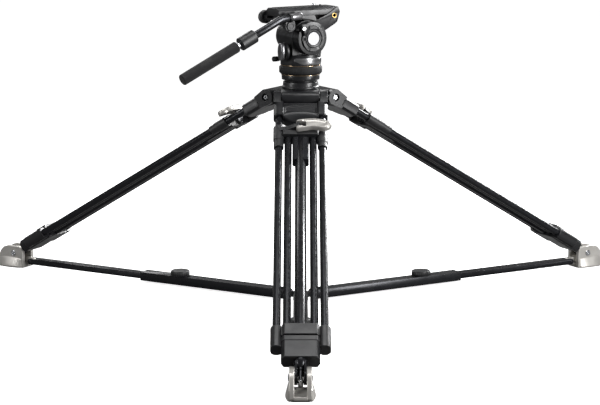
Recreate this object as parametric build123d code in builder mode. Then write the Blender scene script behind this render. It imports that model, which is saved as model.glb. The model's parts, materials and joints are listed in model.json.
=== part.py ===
# A three-legged video tripod with a fluid head, standing open on its ground spreader.
# Millimetres, +Z up. The origin is on the pan axis, on the ground under the spreader hub.
# Each leg has its own frame: x across the leg, y out of its upper face, z down the leg.
# The head has its own frame too: u along the platform, w towards the near side, and height.
from build123d import *
from math import atan2, cos, degrees, hypot, radians, sin, sqrt
import os

os.makedirs("parts", exist_ok=True)

# ---- the stance
foot_radius = 700.0  # pan axis to each foot pivot
foot_height = 31.0
hinge_radius = 50.0  # pan axis to each leg hinge
hinge_height = 413.0
bearings = {"front": -90.0, "right": 30.0, "left": 150.0}

# ---- clearances
run = 0.1  # a shaft that turns in its own bore
slide = 0.4  # a tube that slides through a guide
gap = 0.5  # faces that pass each other

# ---- legs
outer_tube_radius = 7.05
centre_tube_radius = 10.65
tube_wall = 1.2
outer_tube_x = 41.4
inner_tube_x = 23.6
leg_half_width = 52.0
casting_top = 12.0  # upper face of the castings over the tubes' centre plane
casting_under = 13.0
yoke_end = 73.0
ear_end = 60.0
hinge_barrel_radius = 16.0
crown_lug_half = 37.5
slider_start = 90.0
slider_end = 150.0
upper_collar_start = 639.0
upper_collar_end = 666.0
collar_ear_end = 690.0
mid_collar_end = 718.0
hinge_pin_radius = 4.0
lever_pivot = (-5.0, 18.0)  # across the leg, and above the tubes' centre plane
lever_start = 88.0
lever_width = 30.0
lever_under = 14.5
lever_thick = 10.0

# ---- feet and shoes
foot_half = 9.5  # half thickness of the foot block in the shoe's slot
foot_block_radius = 12.0
foot_pin_radius = 4.0
spike_reach = 21.0  # foot pivot to the spike's tip
shoe_half_top = 19.5
shoe_half_base = 26.0
shoe_slot_half = 10.5
shoe_inner = -24.0  # from the foot pivot, inwards is negative
shoe_outer = 48.0
shoe_top = 15.0
lug_reach = 36.0  # foot pivot to the spreader pivot
lug_radius = 8.0
lug_half = 4.5

# ---- spreader
arm_height = 14.0
hub_reach = 34.0  # pan axis to the arm pivots on the hub
rod_half = 11.0
rod_thick = 12.0
channel_half = 14.0
channel_thick = 18.0
channel_wall = 2.5
channel_outer_reach = 376.0  # pan axis to the channel's open end
rod_overlap = 45.0
knob_reach = 286.0
knob_radius = 19.0
knob_height = 11.0
arm_pin_radius = 3.0
blade_half = 2.0

# ---- bowl and pan bearing
bowl_centre = 447.0
ball_radius = 30.6
neck_radius = 36.4
spindle_radius = 22.0
pan_ring_radius = 41.8
pan_ring_bottom = 458.2
pan_ring_top = 474.8
trim_thick = 0.9

# ---- head
head_turn = 32.0  # the platform's bearing from +X
tilt_height = 530.0
flange_radius = 39.5
flange_bottom = 476.9
flange_top = 497.0
body_half = 33.0  # half length of the head body, also its round top's radius
body_near = 23.0
body_far = -25.0
housing_radius = 32.0
housing_face = 44.0
axle_radius = 12.0
platform_under = 36.0  # above the tilt axis
platform_top = 43.0
platform_half = 22.0
plate_half = 24.0
plate_top = 58.0
bar_radius = 7.5
bar_w = 38.0
bar_start = (-24.0, 45.0)
bar_bend = (-68.0, 39.6)
bar_drop = 25.4
bar_end = 94.0  # along the sloping part
collar_start = 66.0
collar_length = 34.0
collar_radius = 13.3
grip_tube_radius = 6.1
grip_tube_start = 24.0
grip_start = 108.0
grip_end = 241.0
grip_radius = 11.0
screw_radius = 3.175  # quarter-inch camera screw
screw_u = 30.0
dial_radius = 25.5
knob_front = 37.2  # pan lock knob, clear of the round flange
# along the platform, and above the tilt axis
lever_stud = (-25.0, 21.0)
insert_place = (64.0, 40.0)
rosette_place = (-46.0, 26.0)
clamp_place = (-62.0, 39.5)
# towards the near side, and height
drag_place = (10.0, 504.0)
pan_lock_place = (-20.0, 487.0)

slope = degrees(atan2(hinge_height - foot_height, foot_radius - hinge_radius))
leg_length = hypot(hinge_height - foot_height, foot_radius - hinge_radius)


def save(builder, name):
    builder.part.label = name
    export_step(builder.part, "parts/" + name + ".step")


def outward(bearing):
    return Vector(cos(radians(bearing)), sin(radians(bearing)), 0)


def leg_frame(bearing):
    down = outward(bearing) * cos(radians(slope)) - Vector(0, 0, sin(radians(slope)))
    hinge = outward(bearing) * hinge_radius + Vector(0, 0, hinge_height)
    return Plane(origin=hinge, x_dir=outward(bearing + 90), z_dir=down)


def face_frame(leg, lift):
    # looking down on the leg's upper face: x across, y up the leg
    return Plane(origin=leg.origin + leg.y_dir * lift, x_dir=leg.x_dir, z_dir=leg.y_dir)


def side_frame(bearing, reach, height):
    # x outwards, y up, in the upright plane through the leg
    place = outward(bearing) * reach + Vector(0, 0, height)
    return Plane(origin=place, x_dir=outward(bearing), z_dir=outward(bearing - 90))


# ================================================================ legs


def build_yoke(name, leg):
    bridge_start = hinge_barrel_radius + 3
    with BuildPart() as yoke:
        with BuildSketch(face_frame(leg, -casting_under)):
            with BuildLine():
                Polyline(
                    (-leg_half_width, -bridge_start),
                    (-leg_half_width, -ear_end),
                    (-leg_half_width + 17, -ear_end),
                )
                ThreePointArc(
                    (-leg_half_width + 17, -ear_end),
                    (0, -yoke_end),
                    (leg_half_width - 17, -ear_end),
                )
                Polyline(
                    (leg_half_width - 17, -ear_end),
                    (leg_half_width, -ear_end),
                    (leg_half_width, -bridge_start),
                    (-leg_half_width, -bridge_start),
                )
            make_face()
        extrude(amount=casting_under + casting_top)
        fillet(yoke.edges().filter_by(Axis(leg.origin, leg.x_dir)), 3)
        # ears that carry the hinge
        ear = leg_half_width - crown_lug_half - gap
        for side in (-1, 1):
            middle = side * (leg_half_width - ear / 2)
            across = Plane(
                origin=leg.origin + leg.x_dir * middle, x_dir=leg.z_dir, z_dir=leg.x_dir
            )
            with BuildSketch(across):
                Circle(hinge_barrel_radius)
                with Locations((bridge_start / 2, 0)):
                    Rectangle(bridge_start + 2, casting_under + casting_top)
            extrude(amount=ear / 2, both=True)
        # the label's shallow recess
        with BuildSketch(face_frame(leg, casting_top)):
            with Locations((0, -bridge_start - 19)):
                RectangleRounded(56, 16, 3)
        extrude(amount=-1.2, mode=Mode.SUBTRACT)
        # tube sockets, open at the lower end
        with BuildSketch(leg.offset(bridge_start + 6)):
            with Locations((-outer_tube_x, 0), (outer_tube_x, 0)):
                Circle(outer_tube_radius)
        extrude(amount=yoke_end, mode=Mode.SUBTRACT)
        # bolt holes and their round recesses
        with BuildSketch(Plane(origin=leg.origin, x_dir=leg.z_dir, z_dir=leg.x_dir)):
            Circle(hinge_pin_radius + run)
        extrude(amount=leg_half_width + 1, both=True, mode=Mode.SUBTRACT)
        for side in (-1, 1):
            mouth = Plane(
                origin=leg.origin + leg.x_dir * side * leg_half_width,
                x_dir=leg.z_dir,
                z_dir=leg.x_dir * side,
            )
            with BuildSketch(mouth):
                Circle(hinge_pin_radius + 3.5)
            extrude(amount=-5, mode=Mode.SUBTRACT)
    save(yoke, name + "_upper_yoke")


def build_tube_pair(name, leg, offset_x, start, end):
    with BuildPart() as tubes:
        with BuildSketch(leg.offset(start)):
            with Locations((-offset_x, 0), (offset_x, 0)):
                Circle(outer_tube_radius)
                Circle(outer_tube_radius - tube_wall, mode=Mode.SUBTRACT)
        extrude(amount=end - start)
    save(tubes, name)


def build_upper_collar(name, leg):
    inner_edge = inner_tube_x + outer_tube_radius + slide
    with BuildPart() as collar:
        with BuildSketch(leg.offset(upper_collar_start)):
            with Locations((0, (casting_top + 4 - casting_under) / 2)):
                RectangleRounded(2 * leg_half_width, casting_top + 4 + casting_under, 7)
        extrude(amount=upper_collar_end - upper_collar_start)
        with BuildSketch(leg.offset(upper_collar_end)):
            for side in (-1, 1):
                with Locations((side * (leg_half_width + inner_edge + 4) / 2, 0)):
                    RectangleRounded(leg_half_width - inner_edge - 4, 2 * casting_under, 6)
        extrude(amount=collar_ear_end - upper_collar_end)
        # outer tubes end here; inner tubes and the lower guide run through
        with BuildSketch(leg.offset(upper_collar_start)):
            with Locations((-outer_tube_x, 0), (outer_tube_x, 0)):
                Circle(outer_tube_radius)
        extrude(amount=collar_ear_end - 6 - upper_collar_start, mode=Mode.SUBTRACT)
        with BuildSketch(leg.offset(upper_collar_start - 1)):
            with Locations((-inner_tube_x, 0), (inner_tube_x, 0)):
                Circle(outer_tube_radius + slide)
            Rectangle(2 * inner_tube_x - 8, 2 * (centre_tube_radius + slide))
        extrude(amount=upper_collar_end + 2 - upper_collar_start, mode=Mode.SUBTRACT)
    save(collar, name + "_upper_collar")


def build_mid_slider(name, leg):
    bar_start_z = 107.0
    bar_end_z = 122.0
    band_under = outer_tube_radius + 1.5
    with BuildPart() as slider:
        # sleeves round the outer tubes, the left one the full height
        for side, start in ((-1, slider_start), (1, slider_start + 20)):
            with BuildSketch(leg.offset(start)):
                with Locations((side * (leg_half_width + 32) / 2, 0)):
                    RectangleRounded(leg_half_width - 32, 2 * (outer_tube_radius + 4), 5)
            extrude(amount=slider_end - start)
        # cross bar between them
        with BuildSketch(leg.offset(bar_start_z)):
            Rectangle(2 * 34, 2 * (centre_tube_radius + slide + 2.4))
        extrude(amount=bar_end_z - bar_start_z)
        # the band across the upper face, which carries the lever
        with BuildSketch(face_frame(leg, band_under)):
            with Locations((-29, -(slider_start + 13))):
                RectangleRounded(46, 12, 2)
        extrude(amount=4)
        with BuildSketch(leg.offset(slider_start + 7)):
            with Locations(lever_pivot):
                Circle(5)
            with Locations((lever_pivot[0] - 4, lever_pivot[1] - 4)):
                Rectangle(8, 8)
        extrude(amount=12)
        with BuildSketch(leg.offset(slider_start - 1)):
            with Locations((-outer_tube_x, 0), (outer_tube_x, 0)):
                Circle(outer_tube_radius + slide)
            Circle(centre_tube_radius + slide)
        extrude(amount=slider_end + 2 - slider_start, mode=Mode.SUBTRACT)
        # sockets for the tops of the inner tubes
        with BuildSketch(leg.offset(bar_start_z + 3)):
            with Locations((-inner_tube_x, 0), (inner_tube_x, 0)):
                Circle(outer_tube_radius)
        extrude(amount=bar_end_z, mode=Mode.SUBTRACT)
        # the lever's pin stands out of both ends of the boss
        with BuildSketch(leg.offset(slider_start + 1)):
            with Locations(lever_pivot):
                Circle(2)
        extrude(amount=24)
    save(slider, name + "_mid_slider")


def build_lever(name, leg):
    # a kidney-shaped paddle, forked round the boss
    with BuildPart() as lever:
        with BuildSketch(face_frame(leg, lever_under)):
            with BuildLine():
                low = -(lever_start + lever_width)
                high = -lever_start
                Polyline((-8, high - 3), (-8, low + 3))
                Spline((-8, low + 3), (6, low), (24, low + 3), (44, low - 1), (58, low + 5))
                Spline((58, low + 5), (60, low + 15), (50, high - 7), (26, high), (-8, high - 3))
            make_face()
        extrude(amount=lever_thick)
        with BuildSketch(face_frame(leg, lever_under + lever_thick)):
            with Locations((35, -(lever_start + lever_width / 2 + 1))):
                SlotOverall(36, 16)
        extrude(amount=-1.5, mode=Mode.SUBTRACT)
        with BuildSketch(face_frame(leg, lever_under)):
            with Locations((-1, -(slider_start + 13))):
                Rectangle(24, 14)
        extrude(amount=lever_thick + 2, both=True, mode=Mode.SUBTRACT)
        with BuildSketch(leg.offset(lever_start - 1)):
            with Locations(lever_pivot):
                Circle(2 + run)
        extrude(amount=lever_width + 2, mode=Mode.SUBTRACT)
    save(lever, name + "_lock_lever")


def build_mid_collar(name, leg):
    half = inner_tube_x + outer_tube_radius + 3.4
    start = upper_collar_end + gap
    with BuildPart() as collar:
        with BuildSketch(leg.offset(start)):
            with Locations((0, 1)):
                RectangleRounded(2 * half, 2 * casting_under, 9)
        extrude(amount=mid_collar_end - start)
        fillet(collar.faces().sort_by(Axis(leg.origin, leg.z_dir))[-1].edges(), 5)
        with BuildSketch(leg.offset(start)):
            with Locations((-inner_tube_x, 0), (inner_tube_x, 0)):
                Circle(outer_tube_radius)
        extrude(amount=mid_collar_end - 12 - start, mode=Mode.SUBTRACT)
        with BuildSketch(leg.offset(start - 1)):
            Circle(centre_tube_radius + slide)
        extrude(amount=mid_collar_end + 2 - start, mode=Mode.SUBTRACT)
    save(collar, name + "_mid_collar")


def build_lower_leg(name, leg):
    tube_start = 104.0
    guide_start = 126.0
    guide_end = 196.0
    tube_end = mid_collar_end + 2
    with BuildPart() as lower:
        # top guide between the inner tubes
        with BuildSketch(leg.offset(guide_start)):
            RectangleRounded(2 * (inner_tube_x - outer_tube_radius - 1), 2 * 9.5, 3)
        extrude(amount=guide_end - guide_start)
        with BuildSketch(leg.offset(tube_start)):
            Circle(centre_tube_radius)
        extrude(amount=tube_end - tube_start)
        with BuildSketch(leg.offset(tube_start)):
            Circle(centre_tube_radius - 1.5)
        extrude(amount=tube_end - 10 - tube_start, mode=Mode.SUBTRACT)
        # socket cone, foot block and the spike below the pivot
        with BuildSketch(leg.offset(tube_end)):
            Circle(centre_tube_radius)
        with BuildSketch(leg.offset(tube_end + 12)):
            Circle(7)
        loft()
        across = Plane(origin=leg.origin + leg.z_dir * leg_length, x_dir=leg.z_dir, z_dir=leg.x_dir)
        with BuildSketch(across):
            Circle(foot_block_radius)
            with Locations((-(leg_length - tube_end) / 2, 0)):
                Rectangle(leg_length - tube_end - 4, 2 * 8)
        extrude(amount=foot_half, both=True)
        with BuildSketch(across):
            Circle(foot_pin_radius)
        extrude(amount=shoe_half_top - 1, both=True)
        with BuildSketch(leg.offset(leg_length)):
            Circle(4)
        extrude(amount=spike_reach - 5)
        with BuildSketch(leg.offset(leg_length + spike_reach - 5)):
            Circle(4)
        with BuildSketch(leg.offset(leg_length + spike_reach)):
            Circle(0.8)
        loft()
    save(lower, name + "_lower_leg")


def build_shoe(name, bearing):
    pivot = side_frame(bearing, foot_radius, foot_height)
    ground = -foot_height
    with BuildPart() as shoe:
        with BuildSketch(pivot):
            with BuildLine():
                Polyline((shoe_inner, ground), (shoe_inner, shoe_top - 8))
                ThreePointArc(
                    (shoe_inner, shoe_top - 8),
                    (shoe_inner + 3, shoe_top - 2),
                    (shoe_inner + 10, shoe_top),
                )
                Line((shoe_inner + 10, shoe_top), (18, shoe_top))
                ThreePointArc((18, shoe_top), (38, shoe_top - 11), (shoe_outer, ground + 8))
                Polyline((shoe_outer, ground + 8), (shoe_outer - 4, ground), (shoe_inner, ground))
            make_face()
        extrude(amount=shoe_half_base, both=True)
        # the uprights are narrower than the base
        for side in (-1, 1):
            with BuildSketch(Plane(origin=pivot.origin, x_dir=pivot.z_dir, z_dir=pivot.x_dir)):
                with BuildLine():
                    Polyline(
                        (side * shoe_half_top, shoe_top + 2),
                        (side * shoe_half_top, ground + 14),
                        (side * shoe_half_base, ground + 5),
                        (side * (shoe_half_base + 2), shoe_top + 2),
                        (side * shoe_half_top, shoe_top + 2),
                    )
                make_face()
            extrude(amount=shoe_outer + 5, both=True, mode=Mode.SUBTRACT)
        # slot that the foot block swings in
        slot_floor = -spike_reach - 2 * gap
        with BuildSketch(pivot):
            with Locations(((shoe_inner + shoe_outer) / 2, (shoe_top + 10 + slot_floor) / 2)):
                Rectangle(2 * shoe_outer, shoe_top + 10 - slot_floor)
        extrude(amount=shoe_slot_half, both=True, mode=Mode.SUBTRACT)
        # bridge that closes the slot at the outer end
        with BuildSketch(pivot):
            with BuildLine():
                Polyline(
                    (30, ground + 6), (30, shoe_top - 14), (36, shoe_top - 11),
                    (46, ground + 10), (46, ground + 6), (30, ground + 6),
                )
            make_face()
        extrude(amount=shoe_slot_half + 1, both=True)
        with BuildSketch(pivot):
            Circle(foot_pin_radius + run)
        extrude(amount=shoe_half_base, both=True, mode=Mode.SUBTRACT)
        # lug for the spreader
        lug = side_frame(bearing, foot_radius - lug_reach, arm_height)
        with BuildSketch(lug):
            Circle(lug_radius)
            with Locations(((lug_reach + shoe_inner) / 2 + 1, 0)):
                Rectangle(lug_reach + shoe_inner + 2, 2 * lug_radius)
        extrude(amount=lug_half, both=True)
        with BuildSketch(lug):
            Circle(arm_pin_radius + run)
        extrude(amount=lug_half + 1, both=True, mode=Mode.SUBTRACT)
    save(shoe, name + "_shoe")


# ================================================================ spreader


def build_rod(name, bearing):
    pivot = side_frame(bearing, foot_radius - lug_reach, arm_height)
    inner = channel_outer_reach - rod_overlap - (foot_radius - lug_reach)
    with BuildPart() as rod:
        with BuildSketch(pivot):
            Circle(rod_thick / 2)
            with Locations((inner / 2, 0)):
                Rectangle(-inner, rod_thick)
        extrude(amount=rod_half, both=True)
        # fork round the shoe's lug
        with BuildSketch(pivot):
            Rectangle(2 * (lug_radius + 1.5), 2 * rod_thick)
        extrude(amount=lug_half + gap, both=True, mode=Mode.SUBTRACT)
        with BuildSketch(pivot):
            Circle(arm_pin_radius)
        extrude(amount=rod_half + 1, both=True)
    save(rod, name + "_spreader_rod")


def build_channel(name, bearing):
    axis_frame = side_frame(bearing, 0, arm_height)
    fork_root = hub_reach + 28
    with BuildPart() as channel:
        with BuildSketch(axis_frame):
            with BuildLine():
                Line((hub_reach, -channel_thick / 2), (channel_outer_reach, -channel_thick / 2))
                Line((channel_outer_reach, -channel_thick / 2), (channel_outer_reach, channel_thick / 2))
                Line((channel_outer_reach, channel_thick / 2), (hub_reach, channel_thick / 2))
                ThreePointArc(
                    (hub_reach, channel_thick / 2),
                    (hub_reach - channel_thick / 2, 0),
                    (hub_reach, -channel_thick / 2),
                )
            make_face()
        extrude(amount=channel_half, both=True)
        # the rod slides inside
        with BuildSketch(axis_frame):
            with Locations(((fork_root + 4 + channel_outer_reach) / 2 + 1, 0)):
                Rectangle(channel_outer_reach - fork_root - 2, rod_thick + 2 * slide)
        extrude(amount=rod_half + slide, both=True, mode=Mode.SUBTRACT)
        # fork round the hub's blade
        with BuildSketch(axis_frame):
            with Locations((fork_root / 2, 0)):
                Rectangle(fork_root, 2 * channel_thick)
        extrude(amount=channel_half - 2, both=True, mode=Mode.SUBTRACT)
        if name == "front":
            with BuildSketch(side_frame(bearing, hub_reach, arm_height)):
                Circle(arm_pin_radius + run)
            extrude(amount=channel_half + 1, both=True, mode=Mode.SUBTRACT)
        with BuildSketch(Plane.XY.offset(arm_height)):
            with Locations(outward(bearing) * knob_reach):
                Circle(3 + run)
        extrude(amount=channel_thick, mode=Mode.SUBTRACT)
    save(channel, name + "_spreader_channel")


def build_spreader_knob(name, bearing):
    top = arm_height + channel_thick / 2
    place = outward(bearing) * knob_reach
    with BuildPart() as knob:
        with BuildSketch(Plane.XY.offset(top + gap)):
            with Locations(place):
                Circle(knob_radius)
        extrude(amount=knob_height - gap)
        fillet(knob.edges().group_by(Axis.Z)[-1], 2)
        with BuildSketch(Plane.XY.offset(top - channel_wall)):
            with Locations(place):
                Circle(3)
        extrude(amount=channel_wall + gap)
    save(knob, name + "_spreader_knob")


def build_hub():
    core_radius = 7.0
    pad_radius = 9.0
    with BuildPart() as hub:
        with BuildSketch(Plane.XY):
            Circle(pad_radius)
        extrude(amount=4)
        with BuildSketch(Plane.XY.offset(4)):
            Circle(core_radius)
        extrude(amount=arm_height + 5 - 4)
        for bearing in bearings.values():
            with BuildSketch(side_frame(bearing, hub_reach, arm_height)):
                Circle(8)
                with Locations((-hub_reach / 2, 0)):
                    Rectangle(hub_reach, 12)
            extrude(amount=blade_half, both=True)
        with BuildSketch(side_frame(bearings["front"], hub_reach, arm_height)):
            Circle(arm_pin_radius)
        extrude(amount=channel_half + 1, both=True)
    save(hub, "spreader_hub")


# ================================================================ crown and bowl


def build_crown():
    bowl_bottom = 410.0
    bowl_wall_radius = neck_radius - 2.8
    with BuildPart() as crown:
        for bearing in bearings.values():
            hinge = side_frame(bearing, hinge_radius, hinge_height)
            with BuildSketch(hinge):
                Circle(hinge_barrel_radius)
                with Locations((-hinge_radius / 2, 0)):
                    Rectangle(hinge_radius, 2 * hinge_barrel_radius)
            extrude(amount=crown_lug_half, both=True)
        with BuildSketch(Plane.XY.offset(bowl_bottom)):
            Circle(bowl_wall_radius)
        extrude(amount=40, mode=Mode.SUBTRACT)
        with BuildSketch(Plane.XY.offset(hinge_height - 20)):
            Circle(20)
        extrude(amount=40, mode=Mode.SUBTRACT)
        for bearing in bearings.values():
            with BuildSketch(side_frame(bearing, hinge_radius, hinge_height)):
                Circle(hinge_pin_radius)
            extrude(amount=crown_lug_half + 1, both=True, mode=Mode.SUBTRACT)
    save(crown, "crown")

    bowl_radius = ball_radius + slide
    floor_radius = 14.0
    rim = bowl_centre - 4
    with BuildPart() as neck:
        with BuildSketch(Plane.XZ):
            with BuildLine():
                mouth = sqrt(bowl_radius**2 - 16)
                floor = bowl_centre - sqrt(bowl_radius**2 - floor_radius**2)
                mid_angle = radians(40)
                Polyline(
                    (floor_radius, floor),
                    (floor_radius, bowl_bottom),
                    (bowl_wall_radius, bowl_bottom),
                    (bowl_wall_radius, hinge_height + hinge_barrel_radius),
                    (neck_radius, hinge_height + hinge_barrel_radius),
                    (neck_radius, 433.6),
                    (neck_radius - 1.5, 435),
                    (neck_radius - 2.2, rim),
                    (mouth, rim),
                )
                ThreePointArc(
                    (mouth, rim),
                    (bowl_radius * cos(mid_angle), bowl_centre - bowl_radius * sin(mid_angle)),
                    (floor_radius, floor),
                )
            make_face()
        revolve(axis=Axis.Z)
    save(neck, "neck")

    with BuildPart() as bolts:
        for bearing in bearings.values():
            for side in (-1, 1):
                place = side_frame(bearing, hinge_radius, hinge_height)
                with BuildSketch(place.offset(side * crown_lug_half - side * 14)):
                    Circle(hinge_pin_radius)
                extrude(amount=side * (14 + leg_half_width - crown_lug_half - 4.5))
                with BuildSketch(place.offset(side * (leg_half_width - 4.5))):
                    Circle(hinge_pin_radius + 2.8)
                extrude(amount=side * 3.5)
    save(bolts, "hinge_bolts")


def build_head_base():
    stud_radius = 5.0
    band_top = pan_ring_bottom - gap - trim_thick
    with BuildPart() as base:
        with BuildSketch(Plane.XZ):
            with BuildLine():
                Polyline(
                    (0, 398), (stud_radius, 398), (stud_radius, bowl_centre - 26),
                    (sqrt(ball_radius**2 - 26**2), bowl_centre - 26),
                )
                ThreePointArc(
                    (sqrt(ball_radius**2 - 26**2), bowl_centre - 26),
                    (ball_radius * cos(radians(30)), bowl_centre - ball_radius * sin(radians(30))),
                    (ball_radius, bowl_centre),
                )
                Polyline(
                    (ball_radius, bowl_centre), (37, bowl_centre), (37.5, band_top),
                    (spindle_radius, band_top), (spindle_radius, flange_top - 4),
                    (0, flange_top - 4), (0, 398),
                )
            make_face()
        revolve(axis=Axis.Z)
    save(base, "head_base")

    with BuildPart() as trims:
        with BuildSketch(Plane.XY.offset(band_top)):
            Circle(38.4)
            Circle(spindle_radius, mode=Mode.SUBTRACT)
        extrude(amount=trim_thick)
        with BuildSketch(Plane.XY.offset(pan_ring_top + gap)):
            Circle(39.3)
            Circle(spindle_radius, mode=Mode.SUBTRACT)
        extrude(amount=trim_thick)
    save(trims, "ring_trims")

    with BuildPart() as ring:
        with BuildSketch(Plane.XY.offset(pan_ring_bottom)):
            Circle(pan_ring_radius)
        extrude(amount=pan_ring_top - pan_ring_bottom)
        chamfer(ring.edges(), 2.8)
        with BuildSketch(Plane.XY.offset(pan_ring_bottom)):
            Circle(spindle_radius + slide)
        extrude(amount=pan_ring_top - pan_ring_bottom, mode=Mode.SUBTRACT)
    save(ring, "pan_ring")

    with BuildPart() as clamp:
        with BuildSketch(Plane.XY.offset(352)):
            Circle(11)
        extrude(amount=34)
        fillet(clamp.edges().group_by(Axis.Z)[0], 3)
        with BuildSketch(Plane.XY.offset(386)):
            Circle(14)
        extrude(amount=4)
        with BuildSketch(Plane.XY.offset(390)):
            Circle(8)
        extrude(amount=15)
        with BuildSketch(Plane.XY.offset(396)):
            Circle(stud_radius + run)
        extrude(amount=10, mode=Mode.SUBTRACT)
    save(clamp, "bowl_clamp_knob")


# ================================================================ head

along = outward(head_turn)
near = outward(head_turn - 90)


def head_side(w):
    # x along the platform, y up from the tilt axis, z towards the near side
    return Plane(origin=near * w + Vector(0, 0, tilt_height), x_dir=along, z_dir=near)


def head_rear(u, height):
    # looking at the rear face: x towards the near side, y up, z backwards
    return Plane(origin=along * u + Vector(0, 0, height), x_dir=near, z_dir=-along)


def build_head_body():
    lower = flange_top - tilt_height
    with BuildPart() as body:
        with BuildSketch(Plane.XY.offset(flange_bottom)):
            Circle(flange_radius)
        extrude(amount=flange_top - flange_bottom)
        with BuildSketch(head_side(body_far)):
            Circle(body_half)
            with Locations((0, lower / 2)):
                Rectangle(2 * body_half, -lower)
        extrude(amount=body_near - body_far)
        with BuildSketch(head_side(body_near)):
            Circle(housing_radius)
        extrude(amount=housing_face - body_near)
        # ear and stud of the tilt lock lever
        with BuildSketch(head_side(housing_face - 4)):
            with Locations(lever_stud):
                Circle(5)
        extrude(amount=4)
        with BuildSketch(head_side(housing_face)):
            with Locations(lever_stud):
                Circle(3)
        extrude(amount=8)
        with BuildSketch(Plane.XY.offset(flange_bottom)):
            Circle(spindle_radius + slide)
        extrude(amount=flange_top - 3 - flange_bottom, mode=Mode.SUBTRACT)
        with BuildSketch(head_side(body_far)):
            Circle(axle_radius + run)
        extrude(amount=38, mode=Mode.SUBTRACT)
        with BuildSketch(head_side(housing_face)):
            Circle(8 + run)
        extrude(amount=-8, mode=Mode.SUBTRACT)
        with BuildSketch(head_rear(-body_half, drag_place[1])):
            with Locations((drag_place[0], 0)):
                Circle(6 + run)
        extrude(amount=-6, mode=Mode.SUBTRACT)
        with BuildSketch(head_rear(-flange_radius, pan_lock_place[1])):
            with Locations((pan_lock_place[0], 0)):
                Circle(3 + run)
        extrude(amount=-13, mode=Mode.SUBTRACT)
    save(body, "head_body")


def build_head_knobs():
    with BuildPart() as lock:
        with BuildSketch(head_rear(-knob_front, pan_lock_place[1])):
            with Locations((pan_lock_place[0], 0)):
                Circle(4.7)
        extrude(amount=14)
        with BuildSketch(head_rear(-knob_front, pan_lock_place[1])):
            with Locations((pan_lock_place[0], 0)):
                Circle(3)
        extrude(amount=-8)
    save(lock, "pan_lock_knob")

    with BuildPart() as drag:
        with BuildSketch(head_rear(-40.3, drag_place[1])):
            with Locations((drag_place[0], 0)):
                Circle(17)
        extrude(amount=5.7)
        with BuildSketch(head_rear(-40.3, drag_place[1])):
            with Locations((drag_place[0], 0)):
                Circle(6)
        extrude(amount=-12)
    save(drag, "drag_knob")

    with BuildPart() as handle:
        with BuildSketch(head_rear(-46, drag_place[1])):
            with Locations((drag_place[0], 0)):
                Ellipse(10, 17.5)
        extrude(amount=8)
        fillet(handle.faces().sort_by(Axis((0, 0, 0), -along))[-1].edges(), 3)
    save(handle, "drag_handle")

    with BuildPart() as dial:
        with BuildSketch(head_side(housing_face + slide)):
            Circle(dial_radius)
        extrude(amount=3.6)
        with BuildSketch(head_side(housing_face + slide)):
            Circle(8)
        extrude(amount=-7)
    save(dial, "counterbalance_dial")

    with BuildPart() as badge:
        with BuildSketch(head_side(housing_face + slide + 3.6)):
            Circle(13.2)
        extrude(amount=1)
    save(badge, "dial_badge")

    with BuildPart() as lever:
        with BuildSketch(head_side(housing_face + 4.4)):
            with BuildLine():
                FilletPolyline((-29.5, 29.5), (-9, 28.5), (-20.5, 3.5), radius=1.5, close=True)
            make_face()
            with Locations(lever_stud):
                Circle(5)
                Circle(3 + run, mode=Mode.SUBTRACT)
        extrude(amount=3)
    save(lever, "tilt_lock_lever")


def build_platform():
    nose_top = (73.0, 57.0)
    nose_end = (77.0, 47.0)
    clear_radius = platform_under
    arc_end = (clear_radius * cos(radians(36)), clear_radius * sin(radians(36)))
    arc_mid = (clear_radius * cos(radians(63)), clear_radius * sin(radians(63)))
    with BuildPart() as platform:
        with BuildSketch(head_side(0)):
            with BuildLine():
                Polyline(
                    arc_end, (43.5, 12), (66, 24), (71, 28), nose_end, nose_top,
                    (47, 42.2), (23, 32.5), (19, platform_top), (-70, platform_top),
                    (-70, platform_under), (0, platform_under),
                )
                ThreePointArc((0, platform_under), arc_mid, arc_end)
            make_face()
        extrude(amount=platform_half, both=True)
        # far cheek with the tilt axle
        with BuildSketch(head_side(body_far - gap)):
            Circle(30)
            with Locations((0, platform_top / 2)):
                Rectangle(44, platform_top)
        extrude(amount=-18)
        with BuildSketch(head_side(body_far - gap - 18)):
            with Locations((0, (platform_under + platform_top) / 2)):
                Rectangle(44, platform_top - platform_under)
        extrude(amount=platform_half - body_far)
        with BuildSketch(head_side(body_far - gap)):
            Circle(axle_radius)
        extrude(amount=37)
        # near lug that carries the pan bar's rosette
        with BuildSketch(head_side(body_near + gap)):
            with BuildLine():
                Polyline(
                    (-58, platform_top), (-58, 26), (-52, 16), (-40, 16), (-34, 26),
                    (-34, platform_top), (-58, platform_top),
                )
            make_face()
        extrude(amount=5.5)
        with BuildSketch(head_side(platform_half)):
            with Locations((-46, (platform_under + platform_top) / 2)):
                Rectangle(24, platform_top - platform_under)
        extrude(amount=3)
        # groove for the camera plate's tongue
        with BuildSketch(head_side(0)):
            with Locations((-28, platform_top)):
                Rectangle(96, 2 * 4.4)
        extrude(amount=10.4, both=True, mode=Mode.SUBTRACT)
        with BuildSketch(head_side(platform_half)):
            with Locations(insert_place):
                Circle(screw_radius)
        extrude(amount=-10, mode=Mode.SUBTRACT)
        with BuildSketch(head_side(body_near + gap + 5.5)):
            with Locations(rosette_place):
                Circle(4 + run)
        extrude(amount=-5, mode=Mode.SUBTRACT)
        with BuildSketch(head_side(-platform_half)):
            with Locations(clamp_place):
                Circle(2.5 + run)
        extrude(amount=9, mode=Mode.SUBTRACT)
    save(platform, "platform")

    with BuildPart() as knob:
        with BuildSketch(head_side(-platform_half - 2)):
            with Locations(clamp_place):
                Circle(12.5)
        extrude(amount=-14)
        with BuildSketch(head_side(-platform_half - 2)):
            with Locations(clamp_place):
                Circle(2.5)
        extrude(amount=10)
    save(knob, "plate_clamp_knob")


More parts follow.
